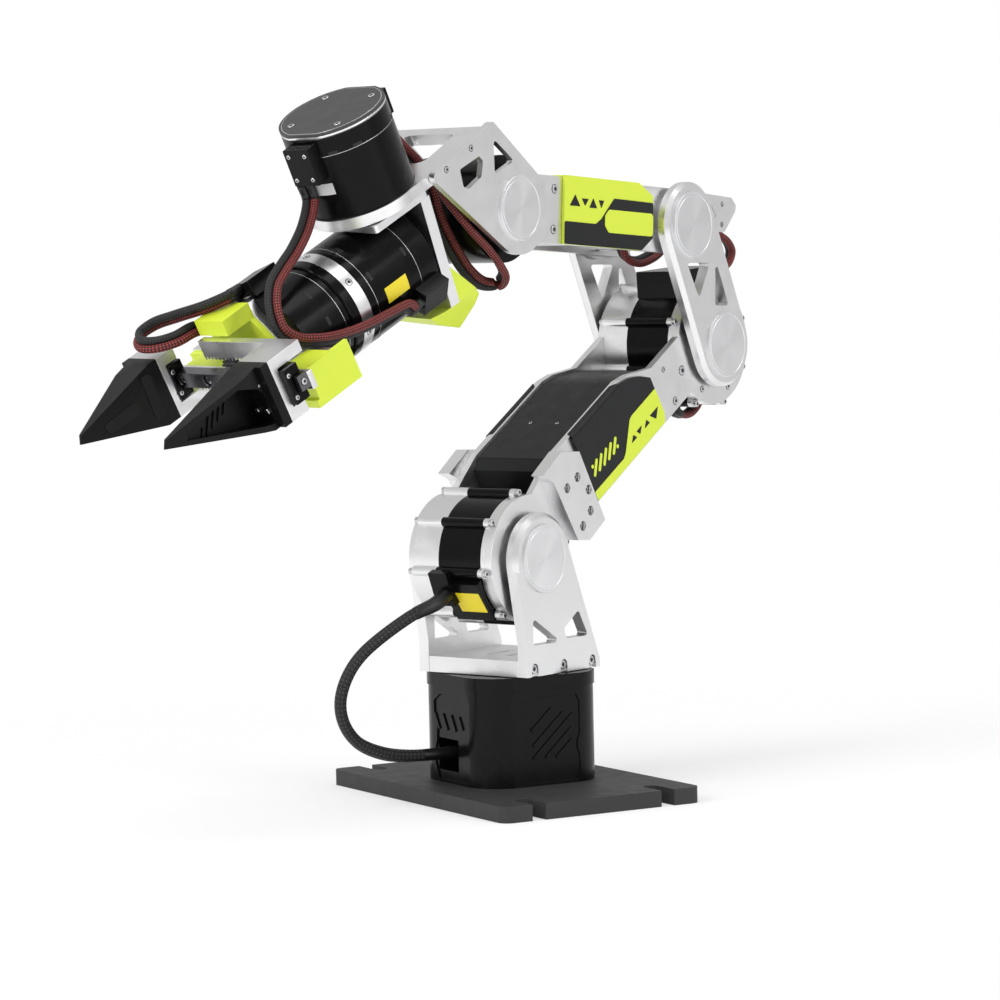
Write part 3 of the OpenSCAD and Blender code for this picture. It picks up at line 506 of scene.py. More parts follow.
class Builder:
    """A mesh in millimetres in the local frame of one link, with faces in numbered material slots."""

    def __init__(self):
        self.bm = bmesh.new()

    def faces_from(self, rings, cap_end=True, slot=0):
        """Skin over closed rings of points, closed at its start and, if asked, at its end."""
        made = [[self.bm.verts.new(p) for p in ring] for ring in rings]
        count = len(made[0])
        faces = []
        for a, b in zip(made, made[1:]):
            for i in range(count):
                j = (i + 1) % count
                faces.append(self.bm.faces.new((a[i], a[j], b[j], b[i])))
        faces.append(self.bm.faces.new(made[0][::-1]))
        if cap_end:
            faces.append(self.bm.faces.new(made[-1]))
        for face in faces:
            face.material_index = slot

    def prism(self, outline, low, high, at, slot=0):
        """Plate of an outline in the local x and y of at, from low to high along its z."""
        ends = [[at @ Vector((x, y, z)) for x, y in outline] for z in (low, high)]
        self.faces_from(ends, slot=slot)

    def lathe(self, profile, at, segments, slot=0, hexes=(), cap_end=True):
        """Round solid from (radius, height) pairs; rings named in hexes are hexagons."""
        rings = []
        for k, (r, z) in enumerate(profile):
            ring = []
            for i in range(segments):
                a = 2 * math.pi * i / segments
                reach = r
                if k in hexes:
                    part = (a % (math.pi / 3)) - math.pi / 6
                    reach = r * math.cos(math.pi / 6) / math.cos(part)
                ring.append(at @ Vector((reach * math.cos(a), reach * math.sin(a), z)))
            rings.append(ring)
        self.faces_from(rings, slot=slot, cap_end=cap_end)

    def seam(self, radius, along, at):
        """Fine light line round a casing whose axis is the z of at: a raised steel ring that paints the
        highlight along the casing's seam.
        """
        low, high = along - SEAM_HALF, along + SEAM_HALF
        foot, top = radius - 0.5, radius + SEAM_HALF / 2
        self.lathe([(foot, low), (top, low), (top, high), (foot, high)], at, ROUND)

    def screw(self, place, axis, radius, height, seat=True):
        """Socket head standing height over place along axis; its hexagon and seat are in slot 1, which paints
        the shade inside the socket and the shadow round the head's foot.
        """
        at = Matrix.Translation(Vector(place)) @ Vector(axis).to_track_quat("Z", "Y").to_matrix().to_4x4()
        chamfer = min(0.25, height * 0.4)
        key = radius * 0.52
        self.lathe(
            [(radius, FOOT), (radius, height - chamfer), (radius - chamfer, height), (key, height)],
            at, SCREW_SIDES, hexes=(3,), cap_end=False,
        )
        # painted shade: dark walls and floor inside the socket
        self.lathe([(key, height), (key, height * 0.35)], at, SCREW_SIDES, slot=1, hexes=(0, 1))
        # painted shadow: a dark ring round the foot of the head
        if seat:
            self.lathe([(radius + 0.35, FOOT), (radius + 0.35, 0.06)], at, SCREW_SIDES, slot=1)

    def finish(self, name, place, body, materials, edge, angle=32, own_axes=False):
        """Makes the piece; with own_axes it keeps the local frame, for a material that turns about Z."""
        bmesh.ops.transform(self.bm, matrix=Matrix.Scale(MM, 4), verts=self.bm.verts)
        bmesh.ops.recalc_face_normals(self.bm, faces=self.bm.faces)
        if not own_axes:
            bmesh.ops.transform(self.bm, matrix=place, verts=self.bm.verts)
        piece = object_of(self.bm, name, materials)
        if own_axes:
            piece.matrix_world = place
        piece.data.shade_smooth()
        soften(piece, edge, angle)
        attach(piece, body)
        return piece


def side_frame(side, y):
    """Local frame whose x and y are the link's X and Z, and whose z points out of the side face at y."""
    return Matrix(((1, 0, 0, 0), (0, 0, side, side * y), (0, 1, 0, 0), (0, 0, 0, 1)))


def arc(centre, radius, start, end, steps=10):
    """Points on a circle, angles in degrees."""
    turns = [math.radians(start + (end - start) * i / steps) for i in range(steps + 1)]
    return [(centre[0] + radius * math.cos(t), centre[1] + radius * math.sin(t)) for t in turns]


def rounded(corners, radius, steps=4):
    """Polygon with every corner rounded to radius."""
    out = []
    n = len(corners)
    for i in range(n):
        p, c, q = Vector(corners[i - 1]), Vector(corners[i]), Vector(corners[(i + 1) % n])
        a, b = (p - c).normalized(), (q - c).normalized()
        half = a.angle(b) / 2
        back = min(radius / math.tan(half), 0.45 * (p - c).length, 0.45 * (q - c).length)
        start, end = c + a * back, c + b * back
        for k in range(steps + 1):
            t = k / steps
            out.append(tuple((1 - t) ** 2 * start + 2 * t * (1 - t) * c + t ** 2 * end))
    return out


# ---------------------------------------------------------------- sizes taken from the CAD, in millimetres

FORK_OUT = 36.3  # outer faces of the fork and of the elbow links
ARM_OUT = 27.5  # outer faces of the arm plates
COVER_OUT = 29.5  # outer faces of the covers
WRIST_OUT = 34.5  # outer faces of the wrist plates
WRIST_L = 70.8  # wrist axis to the yaw motor's axis
YAW_TOP = 92.0  # top of the yaw motor's casing, over the wrist axis
LID_H = 3.0  # lid of the yaw motor
MOTOR_R = 28.0  # small motors
BIG_R = 33.5  # big motors
GRIP_MOTOR_R = 27.0
GRIP_MOTOR_X = 50.0  # rear end of the gripper motor
JAW_INNER = 32.5  # gripping faces, from the tool's axis
AT_REAR = AT_LINK @ Matrix.Translation((LINK_L * MM, 0, 0))
AT_SHOULDER_MOTOR = frame_of(SHOULDER, SHOULDER - ELBOW, ARM_Y)
AT_YAW_MOTOR = AT_WRIST @ Matrix.Translation((WRIST_L * MM, 0, 0))
ALONG_X = Matrix(((0, 0, 1, 0), (0, 1, 0, 0), (-1, 0, 0, 0), (0, 0, 0, 1)))  # z to the local x
SWAPPED = Matrix(((0, 0, 1, 0), (1, 0, 0, 0), (0, 1, 0, 0), (0, 0, 0, 1)))  # z to the local x, x to y, y to z
UPRIGHT = Matrix.Identity(4)
SIDES = (1, -1)


def side_name(side):
    return "left" if side > 0 else "right"


# ---------------------------------------------------------------- turned caps

CAP_H = 1.5
BIG_CAP_R = 18.15
WRIST_CAP_R = 16.9


def cap(name, at, y, side, radius, body, node):
    """Turned cap on the side face at y, with a groove inside its rim."""
    b = Builder()
    top, groove = CAP_H, CAP_H - 0.35
    profile = [
        (radius, FOOT), (radius, top - 0.3), (radius - 0.3, top), (radius - 1.2, top),
        (radius - 1.35, groove), (radius - 1.9, groove), (radius - 2.05, top), (0.3, top),
    ]
    b.lathe(profile, UPRIGHT, ROUND)
    out = Matrix.Rotation(math.radians(-90 * side), 4, "X")
    place = at @ Matrix.Translation((0, side * y * MM, 0)) @ out
    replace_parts(b.finish(name, place, body, [TURNED], edge=0.06, angle=20, own_axes=True), node)


for side in SIDES:
    end = side_name(side)
    cap("shoulder_cap_" + end, AT_SHOULDER, FORK_OUT, side, BIG_CAP_R, "turntable", "shoulder_caps")
    cap("elbow_cap_" + end, AT_ELBOW, FORK_OUT, side, BIG_CAP_R, "forearm", "elbow_caps")
    cap("rear_cap_" + end, AT_REAR, FORK_OUT, side, BIG_CAP_R, "forearm", "elbow_caps")
    cap("wrist_cap_" + end, AT_WRIST, WRIST_OUT, side, WRIST_CAP_R, "wrist", "wrist_caps")

# ---------------------------------------------------------------- covers

FORE_BLACK = [
    (27.6, -8.9), (37.4, -15.9), (106.9, -15.9), (106.9, -3.8),
    (79.4, -3.9), (74.7, -1.1), (63.3, 10.6), (27.6, 10.3),
]
FORE_TRIANGLES = (
    [(93.4, 4.6), (102.8, 4.6), (98, 10.8)], [(86.0, 9), (92.3, 9), (89.2, 5)],
    [(78.4, 4.4), (85.5, 4.4), (82, 9.7)], [(72.2, 8.9), (77.2, 8.9), (74.7, 4.6)],
)
FORE_BAND = [(27.7, -8), (68, -8), (71.5, -4.5), (71.5, 1), (68, 4.4), (27.7, 4.4)]
UPPER_LIME = [
    (61.6, 12.4), (61.6, -4), (64.1, -8.4), (137.7, -8.4), (137.7, -2.8), (106.4, -3.0), (103.1, -1.2),
    (90.5, 11.4), (87.9, 12.4),
]
UPPER_TRIANGLES = (
    [(64.9, 2.9), (74.2, 2.9), (70.0, -2.0)], [(75.9, -0.2), (81.9, -0.4), (78.0, 3.0)],
    [(82.9, 2.9), (88.9, 2.8), (86.8, -0.4)], [(90.0, -0.2), (96.0, -0.2), (92.4, 3.0)],
)
BARS, BAR_STEP, BAR_WIDTH = 5, 5.1, 2.1
BAR_FROM, BAR_TO = (112.2, 5.0), (106.8, 10.7)  # ends of the first slanted bar
DOTS = ((107.4, 6.0), (131.9, 9.9))
COVER_TOP_FROM, COVER_TOP_TO = 87, 137.7  # straight top edge of the upper arm's covers
LIP_PROFILE = [  # y and z of the lip that carries a cover over the top of its plate
    (25.2, 33.45), (25.2, 34.0), (27.6, 34.0), (29.4, 32.8), (29.4, 32.15), (27.55, 32.15), (27.55, 33.45),
]
LIP_OUT = 29.4


def inlay(b, outline, side, low, high, radius):
    """Flat shape with rounded corners on a cover's outer face, from low to high over it."""
    b.prism(rounded(outline, radius), low, high, side_frame(side, COVER_OUT))


def bar(a, c, width):
    """Slanted bar with round ends from a to c."""
    a, c = Vector(a), Vector(c)
    turn = math.degrees(math.atan2(c.y - a.y, c.x - a.x))
    return arc(c, width / 2, turn - 90, turn + 90, 6) + arc(a, width / 2, turn + 90, turn + 270, 6)


def cover_lip(side):
    """Lip over the upper plate's top edge, with slanted ends."""
    b = Builder()
    b.faces_from([
        [(COVER_TOP_FROM + LIP_OUT - y, side * y, z) for y, z in LIP_PROFILE],
        [(COVER_TOP_TO - 0.4 * (LIP_OUT - y), side * y, z) for y, z in LIP_PROFILE],
    ])
    return b


for side in SIDES:
    end = side_name(side)
    b = Builder()
    inlay(b, FORE_BLACK, side, FOOT, 0.22, 1.2)
    for triangle in FORE_TRIANGLES:
        inlay(b, triangle, side, FOOT, 0.15, 0.3)
    b.finish("forearm_cover_black_" + end, AT_FORE, "forearm", [COVER_BLACK], edge=0.08)
    b = Builder()
    inlay(b, FORE_BAND, side, 0.1, 0.5, 2.5)
    b.finish("forearm_cover_band_" + end, AT_FORE, "forearm", [LIME], edge=0.1)

    b = Builder()
    inlay(b, UPPER_LIME, side, FOOT, 0.22, 1.0)
    for k in range(BARS):
        first, last = ((x + BAR_STEP * k, z) for x, z in (BAR_FROM, BAR_TO))
        b.prism(bar(first, last, BAR_WIDTH), FOOT, 0.3, side_frame(side, COVER_OUT))
    for dot in DOTS:
        b.prism(arc(dot, 1.1, 0, 345, 15), FOOT, 0.3, side_frame(side, COVER_OUT))
    b.finish("upper_cover_lime_" + end, AT_UPPER, "upper_arm", [LIME], edge=0.08)
    b = Builder()
    for triangle in UPPER_TRIANGLES:
        inlay(b, triangle, side, 0.1, 0.35, 0.3)
    b.finish("upper_cover_marks_" + end, AT_UPPER, "upper_arm", [COVER_BLACK], edge=0.05)
    cover_lip(side).finish("upper_cover_lip_" + end, AT_UPPER, "upper_arm", [COVER_BLACK], edge=0.3)

# ---------------------------------------------------------------- screws

SCREW = [STEEL, PAINTED_SHADE]  # the slots that Builder.screw uses
FORK_SCREWS = [(x, 70.9, 2.5, 1.7) for x in (-25, 0, 25)]
FORK_FOOT = FORK_OUT - 2.25  # where the heads of the fork's screws stand
ELBOW_SCREWS = (
    (47.7, -12.3, 1.3, 0.5), (30.2, -13.5, 2.5, 0.5), (36.9, -29.9, 2.0, 0.5),
    (11.1, -24.5, 1.6, 0.5), (-14.0, -24.0, 1.6, 0.5),
)
STOP_FLOOR = 31.4  # floors of the stop blocks' holes
STOP_SCREWS = [
    (x, z, 2.1, 2.2) for x, z in ((152.2, 17.7), (162.8, 18), (147.8, 6.5), (152.6, -3.9), (162.7, -6.7))
]
PANEL_SCREWS = ((82.6, 30.2), (122.6, 31.2))
LUG_RING, LUG_END = 35.4, 23.5  # lug screws, from the motor's axis and from its middle
FORE_SCREWS = ((113.6, 12.7, 2.2, 0.6), (113.9, -8.7, 2.2, 0.6), (6, -11, 1.6, 0.5))
WRIST_SCREWS = ((42.8, 45.6, 1.5, 0.4), (19.8, 45.6, 1.5, 0.4))
LID_RING = 21.5  # screws in the yaw motor's lid
YAW_PLUG_FACE = WRIST_L + MOTOR_R + 7
COUPLING_X, COUPLING_R = 46, 28.25  # middle and radius of the coupling ring
RAIL_Z, RAIL_MID, RAIL_END = 2, 121.4, 61
RAIL_SCREWS = [(121.15, y, RAIL_Z) for y in range(-50, 51, 20)]  # on the floors of the rail's holes
GRIP_PLATE_FACE = 91  # front of the plate that carries the rail
GRIP_PLATE_SCREWS = ((-38, -6), (38, -10), (-14, -16), (14, -17))
FINGER_FACE = 138.15  # rear wall of the fingers' recesses
FINGER_SCREWS = ((48.5, 9.3), (40.1, -4.9), (47.5, -5.1))
CARRIAGE_SCREWS = ((126.6, 7.8), (126.8, -4.0))
CARRIAGE_INNER, CARRIAGE_OUTER = JAW_INNER - 1, JAW_INNER + 25.5  # a carriage's ends
FINGER_PADS = (
    [(145.1, 15.4), (138.6, 14.2), (140.2, -9.6), (146.4, -8.5)],
    [(176.5, 6.0), (153.8, 6.7), (150.8, -0.4), (174.5, 0.4)],
)


def side_screws(b, spots, y, seat=True):
    """Screws in both side faces at y; a spot is x, z, radius and height."""
    for side in SIDES:
        for x, z, radius, height in spots:
            b.screw((x, side * y, z), (0, side, 0), radius, height, seat)


def spokes(count, first):
    """Cosine and sine of count even turns, the first of them in degrees."""
    for k in range(count):
        turn = math.radians(first + 360 / count * k)
        yield math.cos(turn), math.sin(turn)


def lug_screws(name, at):
    """Screw heads on both ends of a big motor's lugs."""
    b = Builder()
    for x, z in spokes(8, 22.5):
        for side in SIDES:
            b.screw((LUG_RING * x, side * LUG_END, LUG_RING * z), (0, side, 0), 1.7, 2.4, seat=False)
    b.finish(name, at, "upper_arm", SCREW, edge=0.1, angle=40)


b = Builder()
side_screws(b, FORK_SCREWS, FORK_FOOT)
b.finish("fork_screws", AT_ARM, "turntable", SCREW, edge=0.1, angle=40)

b = Builder()
side_screws(b, ELBOW_SCREWS, ARM_OUT)
b.finish("elbow_plate_screws", AT_ELBOW, "upper_arm", SCREW, edge=0.08, angle=40)

b = Builder()
side_screws(b, STOP_SCREWS, STOP_FLOOR, seat=False)
for x, z in PANEL_SCREWS:
    for y in (-9, 9):
        b.screw((x, y, z), (0, 0, 1), 1.1, 0.5, seat=False)
b.finish("upper_arm_screws", AT_UPPER, "upper_arm", SCREW, edge=0.1, angle=40)

lug_screws("shoulder_motor_screws", AT_SHOULDER_MOTOR)
lug_screws("elbow_motor_screws", AT_ELBOW)

b = Builder()
side_screws(b, FORE_SCREWS, ARM_OUT)
b.finish("forearm_screws", AT_FORE, "forearm", SCREW, edge=0.08, angle=40)

b = Builder()
side_screws(b, WRIST_SCREWS, WRIST_OUT)
for x, y in spokes(4, 45):
    b.screw((WRIST_L + LID_RING * x, LID_RING * y, YAW_TOP + LID_H + 0.1), (0, 0, 1), 1.9, 0.35)
for z in (YAW_TOP - 17.5, YAW_TOP - 4.5):
    for y in (-5.2, 5.2):
        b.screw((YAW_PLUG_FACE, y, z), (1, 0, 0), 1.2, 0.5, seat=False)
b.finish("wrist_screws", AT_WRIST, "wrist", SCREW, edge=0.08, angle=40)

b = Builder()
for y, z in spokes(6, 30):
    b.screw((COUPLING_X, COUPLING_R * y, COUPLING_R * z), (0, y, z), 1.7, 0.25)
side_screws(b, [(RAIL_MID, RAIL_Z, 1.7, 0.4)], RAIL_END)
for place in RAIL_SCREWS:
    b.screw(place, (1, 0, 0), 2.3, 2.2, seat=False)
for y, z in GRIP_PLATE_SCREWS:
    b.screw((GRIP_PLATE_FACE, y, z), (1, 0, 0), 1.8, 0.3, seat=False)
b.finish("gripper_screws", AT_GRIP, "gripper", SCREW, edge=0.08, angle=40)

for side in SIDES:
    end = side_name(side)
    b = Builder()
    for y, z in FINGER_SCREWS:
        b.screw((FINGER_FACE, side * y, z), (1, 0, 0), 1.7, 1.4, seat=False)
    for x, z in CARRIAGE_SCREWS:
        b.screw((x, side * CARRIAGE_OUTER, z), (0, side, 0), 1.2, 0.5)
        b.screw((x, side * CARRIAGE_INNER, z), (0, -side, 0), 1.2, 0.5)
    b.finish("jaw_screws_" + end, AT_GRIP, "jaw_" + end, SCREW, edge=0.08, angle=40)
    b = Builder()
    for pad in FINGER_PADS:
        b.prism(rounded(pad, 3.2, 6), FOOT, 0.45, side_frame(-side, -JAW_INNER))
    b.finish("finger_pads_" + end, AT_GRIP, "jaw_" + end, [PAD_BLACK], edge=0.15)

# ---------------------------------------------------------------- motors

COLLAR_OUT = MOTOR_R + 0.2
PATCH_STEPS = 12
LID_FACE_R = MOTOR_R - 1.65
YAW_FLATS = 26.56  # the yaw motor's lid is cut off at this distance on two sides
ALONG_ROLL = AT_ROLL @ SWAPPED
ALONG_GRIP = AT_GRIP @ SWAPPED

# Painted highlights: steel rings where the motors' seams catch the light.
b = Builder()
for along in (5.0, 37.0):
    b.seam(MOTOR_R, along, ALONG_X)
b.finish("roll_motor_seam_highlights", AT_ROLL, "roll_carrier", [STEEL], edge=0.03, angle=60)

COLLAR = [
    (GRIP_MOTOR_R - 0.5, 0.02), (COLLAR_OUT, 0.02), (COLLAR_OUT, 5.2),
    (COLLAR_OUT - 0.5, 5.9), (GRIP_MOTOR_R - 0.5, 5.9),
]
b = Builder()
b.lathe([(radius, GRIP_MOTOR_X + along) for radius, along in COLLAR], ALONG_X, ROUND)
b.finish("gripper_motor_collar", AT_GRIP, "gripper", [BLACK_METAL], edge=0.1, angle=25)
b = Builder()
b.seam(GRIP_MOTOR_R, GRIP_MOTOR_X + 9.5, ALONG_X)
b.finish("gripper_motor_seam_highlight", AT_GRIP, "gripper", [STEEL], edge=0.03, angle=60)

b = Builder()
b.seam(MOTOR_R, YAW_TOP - 9.5, UPRIGHT)
b.finish("yaw_motor_seam_highlight", AT_YAW_MOTOR, "wrist", [STEEL], edge=0.03, angle=60)


def on_casing(angle, radius):
    """Frame on a big motor's block: x along the motor's axis, y round it, z out of the casing."""
    turn = Matrix.Rotation(math.radians(-angle), 4, "Y")
    face = Matrix(((0, 0, 1, radius), (1, 0, 0, 0), (0, 1, 0, 0), (0, 0, 0, 1)))
    return turn @ face


def patches(name, at, body, material, radius, spans):
    """Thin skins round a casing whose axis is the local z, each between two angles and two heights."""
    b = Builder()
    inner, outer = radius - 0.1, radius + 0.1
    for start, end, low, high in spans:
        rings = []
        for k in range(PATCH_STEPS + 1):
            a = math.radians(start + (end - start) * k / PATCH_STEPS)
            corners = ((inner, low), (outer, low), (outer, high), (inner, high))
            rings.append([(r * math.cos(a), r * math.sin(a), z) for r, z in corners])
        b.faces_from(rings)
    b.finish(name, at, body, [material], edge=0.03, angle=40)


def notches(angles, low, high):
    """Spans of small notches round a casing, for patches."""
    return [(angle - 5, angle + 5, low, high) for angle in angles]


ROLL_NOTCHES = (26, 70, 160, 206, 250, 300)
patches("roll_motor_label_blank", ALONG_ROLL, "roll_carrier", YELLOW, MOTOR_R, [(-11.5, 6, 14, 30)])
patches("yaw_motor_label_blank", AT_YAW_MOTOR, "wrist", LABEL, MOTOR_R, [(-13, 18, 62.0, 68.2)])
# Painted shade: dark skins where the casings have notches, standing for the shade inside them.
patches("yaw_motor_notch_shade", AT_YAW_MOTOR, "wrist", PAINTED_SHADE, MOTOR_R,
        notches((30, 57, 123, 150, 210, 237, 303, 330), 82.6, 84.4))
patches("roll_motor_notch_shade", ALONG_ROLL, "roll_carrier", PAINTED_SHADE, MOTOR_R,
        notches(ROLL_NOTCHES, 7.4, 9.2) + notches(ROLL_NOTCHES, 33.0, 34.8))
patches("gripper_motor_notch_shade", ALONG_GRIP, "gripper", PAINTED_SHADE, GRIP_MOTOR_R,
        notches((10, 45, 80, 115, 150, 245, 300, 335), GRIP_MOTOR_X + 17.5, GRIP_MOTOR_X + 19.5))


def flat_sided(radius, half, z):
    """Circle at the height z whose two ends along x are cut off at half."""
    turn = math.degrees(math.acos(half / radius))
    points = arc((0, 0), radius, turn, 180 - turn, 24) + arc((0, 0), radius, 180 + turn, 360 - turn, 24)
    return [(x, y, z) for x, y in points]


b = Builder()
top = YAW_TOP + LID_H
b.faces_from([
    flat_sided(MOTOR_R + 0.06, YAW_FLATS, top - 2.4), flat_sided(MOTOR_R + 0.06, YAW_FLATS, top - 1.5),
    flat_sided(MOTOR_R - 1.4, 25.2, top + 0.06), flat_sided(MOTOR_R - 1.6, 25.0, top + 0.06),
])
b.finish("yaw_motor_rim", AT_YAW_MOTOR, "wrist", [SILVER], edge=0.03, angle=25)
b = Builder()
b.faces_from([flat_sided(LID_FACE_R, 24.9, z) for z in (top, top + 0.1)])
b.finish("yaw_motor_face", AT_YAW_MOTOR, "wrist", [TOP_BLACK], edge=0.02, angle=25)

b = Builder()
b.prism(rounded([(1, -6.5), (18, -6.5), (18, 6.5), (1, 6.5)], 0.6), FOOT, 0.12, on_casing(-37, BIG_R + 2.6))
b.finish("shoulder_label_blank", AT_SHOULDER, "upper_arm", [YELLOW], edge=0.04)

# ---------------------------------------------------------------- braided cables

YARNS_ROUND, YARNS_ALONG = 10, 9  # for one turn and one circumference of a tube


def braid(name, first, second):
    """Two families of yarns that cross over and under each other, in the tube's UV map, with painted shade
    where the yarns dip.
    """
    s = Shade(name, first, 0.5, 0.0, 0.4)
    uv = s.node("ShaderNodeUVMap", uv_map="tube")
    parts = s.node("ShaderNodeSeparateXYZ")
    s.link(uv.outputs["UV"], parts.inputs[0])

    def math_node(operation, a, b=None):
        """Maths on outputs or plain numbers."""
        made = s.node("ShaderNodeMath", operation=operation)
        for socket, value in zip(made.inputs, (a, b)):
            if value is None:
                continue
            if isinstance(value, (int, float)):
                socket.default_value = value
            else:
                s.link(value, socket)
        return made.outputs[0]

    turns = math_node("MULTIPLY", parts.outputs["X"], YARNS_ROUND)
    run = math_node("MULTIPLY", parts.outputs["Y"], YARNS_ALONG)
    one, two = math_node("ADD", turns, run), math_node("SUBTRACT", turns, run)
    over = math_node("FLOORED_MODULO", math_node("ADD", math_node("FLOOR", one), math_node("FLOOR", two)), 2)
    arch_one = math_node("SINE", math_node("MULTIPLY", math_node("FRACT", one), math.pi))
    arch_two = math_node("SINE", math_node("MULTIPLY", math_node("FRACT", two), math.pi))
    height = math_node("MULTIPLY", arch_one, arch_two)
    uneven = s.noise(3.0, 2)
    mix = s.node("ShaderNodeMix", data_type="RGBA")
    a, b = [k for k in mix.inputs if k.type == "RGBA"]
    a.default_value, b.default_value = (*first, 1), (*second, 1)
    s.link(over, mix.inputs["Factor"])
    shade = s.node("ShaderNodeMix", data_type="RGBA", blend_type="MULTIPLY")
    c, d = [k for k in shade.inputs if k.type == "RGBA"]
    shade.inputs["Factor"].default_value = 1
    # Painted shade: the colour falls to 15% where the yarns dip, and varies at random with uneven.
    gap_shade_and_tone = s.node("ShaderNodeMapRange")
    gap_shade_and_tone.inputs["To Min"].default_value = 0.15
    gap_shade_and_tone.inputs["To Max"].default_value = 1.0
    s.link(math_node("MULTIPLY", height, math_node("ADD", uneven, 0.5)), gap_shade_and_tone.inputs["Value"])
    s.link([k for k in mix.outputs if k.type == "RGBA"][0], c)
    s.link(gap_shade_and_tone.outputs["Result"], d)
    s.link([k for k in shade.outputs if k.type == "RGBA"][0], s.shader.inputs["Base Color"])
    s.bump(height, 0.25)
    return s.material


BRAID_BLACK = braid("braid_black", (0.009, 0.009, 0.010), (0.045, 0.045, 0.047))
BRAID_RED = braid("braid_red", (0.020, 0.008, 0.008), (0.56, 0.066, 0.056))
SHRINK = satin("shrink_sleeve", (0.008, 0.008, 0.008), 0.36, 0.0, 1.2, 0.01, 0.15, 0.4).material
PAIR = [BRAID_BLACK, BRAID_RED, SHRINK]  # slots of all tubes
STRAND_OFFSET = 2.05  # of a strand's axis from the route
SLEEVE_STEPS, SLEEVE_WALL = 6, 0.22


def smooth_path(points, step=1.5):
    """Centripetal Catmull-Rom curve through the points."""
    p = [Vector(q) for q in points]
    p = [2 * p[0] - p[1]] + p + [2 * p[-1] - p[-2]]
    out = []
    for k in range(1, len(p) - 2):
        p0, p1, p2, p3 = p[k - 1 : k + 3]
        t1 = math.sqrt((p1 - p0).length)
        t2 = t1 + math.sqrt((p2 - p1).length)
        t3 = t2 + math.sqrt((p3 - p2).length)
        count = max(1, round((p2 - p1).length / step))
        for i in range(count):
            t = t1 + (t2 - t1) * i / count
            a1 = p0 * ((t1 - t) / t1) + p1 * (t / t1)
            a2 = p1 * ((t2 - t) / (t2 - t1)) + p2 * ((t - t1) / (t2 - t1))
            a3 = p2 * ((t3 - t) / (t3 - t2)) + p3 * ((t - t2) / (t3 - t2))
            b1 = a1 * ((t2 - t) / t2) + a2 * (t / t2)
            b2 = a2 * ((t3 - t) / (t3 - t1)) + a3 * ((t - t1) / (t3 - t1))
            out.append(b1 * ((t2 - t) / (t2 - t1)) + b2 * ((t - t1) / (t2 - t1)))
    return out + [p[-2]]


class Tubes:
    """Tubes whose UV map counts turns round them and circumferences along them."""

    def __init__(self):
        self.bm = bmesh.new()
        self.uv = self.bm.loops.layers.uv.new("tube")

    def add(self, path, up, offset, radius, slot=0, sides=14):
        """Tube round a path; radius is a number or a function of the length along it and its whole length."""
        up = Vector(up)
        run = [0.0]
        for a, c in zip(path, path[1:]):
            run.append(run[-1] + (c - a).length)
        size = radius if callable(radius) else lambda along, whole: radius
        rings = []
        for i, p in enumerate(path):
            t = (path[min(i + 1, len(path) - 1)] - path[max(i - 1, 0)]).normalized()
            across = up.cross(t).normalized()
            high = t.cross(across)
            centre = p + across * offset[0] + high * offset[1]
            r = size(run[i], run[-1])
            rings.append([
                self.bm.verts.new(centre + r * (math.cos(w) * across + math.sin(w) * high))
                for w in (2 * math.pi * k / sides for k in range(sides))
            ])
        around = 2 * math.pi * size(run[-1] / 2, run[-1])
        for i in range(len(rings) - 1):
            for k in range(sides):
                j = (k + 1) % sides
                face = self.bm.faces.new((rings[i][k], rings[i][j], rings[i + 1][j], rings[i + 1][k]))
                face.material_index = slot
                face.smooth = True
                corners = ((k, i), (k + 1, i), (k + 1, i + 1), (k, i + 1))
                for loop, (u, v) in zip(face.loops, corners):
                    loop[self.uv].uv = (u / sides, run[v] / around)
        for ring, order in ((rings[0], -1), (rings[-1], 1)):
            face = self.bm.faces.new(ring[::order])
            face.material_index = slot

    def finish(self, name, at):
        bmesh.ops.transform(self.bm, matrix=at @ Matrix.Scale(MM, 4), verts=self.bm.verts)
        return object_of(self.bm, name, PAIR)


def pair(name, at, route, up, lean=0.0, radius=2.1, red_first=True):
    """Two braided strands side by side, turned by lean degrees, with short shrink sleeves at both ends."""
    tubes = Tubes()
    path = smooth_path(route)
    lean = math.radians(lean)
    for k, side in enumerate(SIDES):
        offset = (side * STRAND_OFFSET * math.sin(lean), side * STRAND_OFFSET * math.cos(lean))
        tubes.add(path, up, offset, radius, 1 - k if red_first else k)
        for part in (path[:SLEEVE_STEPS], path[-SLEEVE_STEPS:]):
            tubes.add(part, up, offset, radius + SLEEVE_WALL, 2)
    return tubes.finish(name, at)


# The routes of the part's own cables, point for point
BASE_ROUTE = [
    (13.5, -3.5, 25), (61, -3.5, 25), (78, -2, 28), (93, 0, 35), (103, 4, 46), (107, 8, 58), (105, 12, 71),
    (97, 15, 83), (72, 21, 101), (57.3, 21.4, 106.6), (48.6, 18, 110.4),
]
UPPER_ROUTE = [
    (17.8, 0, -28.5), (19.6, 0, -31.4), (16.4, 0, -36.7), (11.2, 0, -40.2), (5.6, 0, -41.3),
    (-0.6, 0, -40.3), (-6.1, 0, -36.3), (-5.6, 0, -33.1),
]
ELBOW_ROUTE = [
    (-171.3, 4, 272), (-184, 4, 272.9), (-200, 1, 275), (-210, 0, 279), (-213.5, 0, 286), (-208, 0, 293),
    (-195, -2, 298), (-178, -3, 299), (-162, -2, 296), (-148, -1, 290), (-136, 0, 284.5), (-122, 0, 281.5),
    (-111, 0, 284.5), (-106, 0, 292), (-94, 0, 300), (-20, 0, 310.9), (-0.6, 0, 311.1),
]
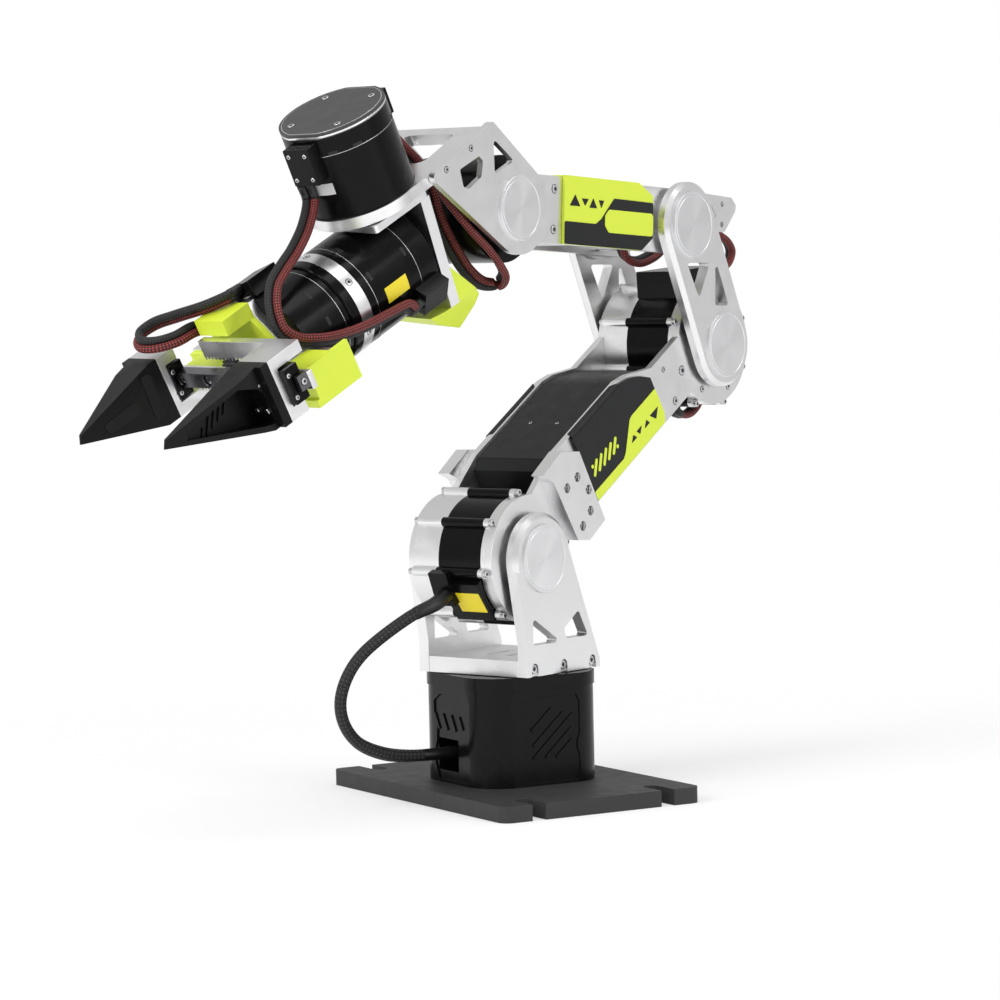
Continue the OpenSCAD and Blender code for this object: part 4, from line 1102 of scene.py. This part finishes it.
WRIST_ROUTE = [
    (38, 0, 75.7), (37.5, 0, 66), (33, 1, 54), (28, 3, 41), (29, 6, 27), (32.5, 8, 13), (32, 10, -5),
    (27, 10, -22), (20, 11, -33), (15, 16, -36), (17, 24, -30), (21, 27.2, -21), (25, 27.2, -10), (33, 26, 8),
    (37, 21.5, 28), (37, 20.5, 41.6),
]
TOOL_ROUTE = [
    (32, 0, 62.2), (32, 0, 54), (43, 4, 46), (60, 10, 41), (75, 15, 39), (87, 19, 36), (95, 23, 28),
    (98, 27, 18), (94, 30, 11), (86, 32.5, 6), (72, 33, 0), (54, 32.5, -5), (36, 32, -8), (22, 31, -11),
    (17, 28, -16), (11.3, 28, -16),
]
GRIPPER_ROUTE = [
    (85.3, -9, 31.2), (93, -9, 32), (102, -17, 31.5), (110, -32, 30.5), (117, -44, 29.5), (126, -46, 28.5),
    (132, -39, 27), (130, -31, 25.5), (121, -26, 23.5), (109, -25, 22.4), (101, -25, 19.5), (94.3, -25, 19),
]


def blended(piece):
    """Leaves the piece in the shared frame with its placement baked into its mesh, attached to no body."""
    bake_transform(piece)


BASE_R = 3.2
BASE_SIDES = 20
SPLIT_Z = 66  # height at which the base cable's lower piece hands over to the upper one
OUTLET_STEPS, PLUG_STEPS = 34, 16  # lengths of the sleeves at its ends


def base_bulge(along, whole):
    """Radius of the lower piece, which is up to 0.35 mm thicker in its bend."""
    return BASE_R + 0.35 * math.sin(min(1, max(0, (along - 44) / 40)) * math.pi)


def outlet_sleeve(along, whole):
    return BASE_R + 0.25 - 0.5 * (along / whole) ** 3


def plug_sleeve(along, whole):
    return BASE_R + 0.2 + 0.9 * (along / whole)


base_path = smooth_path(BASE_ROUTE)
split = next(i for i, p in enumerate(base_path) if p.z > SPLIT_Z)
tubes = Tubes()
tubes.add(base_path[: split + 1], (0, 1, 0), (0, 0), base_bulge, 0, BASE_SIDES)
tubes.add(base_path[:OUTLET_STEPS], (0, 1, 0), (0, 0), outlet_sleeve, 2, BASE_SIDES)
low = tubes.finish("base_cable_low", AT_ROW)
blended(low)
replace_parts(low, "base_cable")
tubes = Tubes()
tubes.add(base_path[split:], (0, 1, 0), (0, 0), BASE_R, 0, BASE_SIDES)
tubes.add(base_path[-PLUG_STEPS:], (0, 1, 0), (0, 0), plug_sleeve, 2, BASE_SIDES)
high = tubes.finish("base_cable_high", AT_ROW)
blended(high)
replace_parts(high, "base_cable")

piece = pair("upper_cable_pair", AT_UPPER, UPPER_ROUTE, (0, 1, 0), radius=2.0)
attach(piece, "upper_arm")
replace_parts(piece, "upper_cable")

piece = pair("elbow_cable_pair", AT_ARM, ELBOW_ROUTE, (0, 1, 0), 30)
blended(piece)
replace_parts(piece, "elbow_cable")

piece = pair("wrist_cable_pair", AT_WRIST, WRIST_ROUTE, (0, 1, 0), 40)
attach(piece, "wrist")
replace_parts(piece, "wrist_cable")

piece = pair("tool_cable_pair", AT_ROLL, TOOL_ROUTE, (0, 1, 0), 40)
blended(piece)
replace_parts(piece, "tool_cable")

piece = pair("gripper_cable_pair", AT_GRIP, GRIPPER_ROUTE, (0, 0, 1), 35, red_first=False)
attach(piece, "gripper")
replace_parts(piece, "gripper_cable")
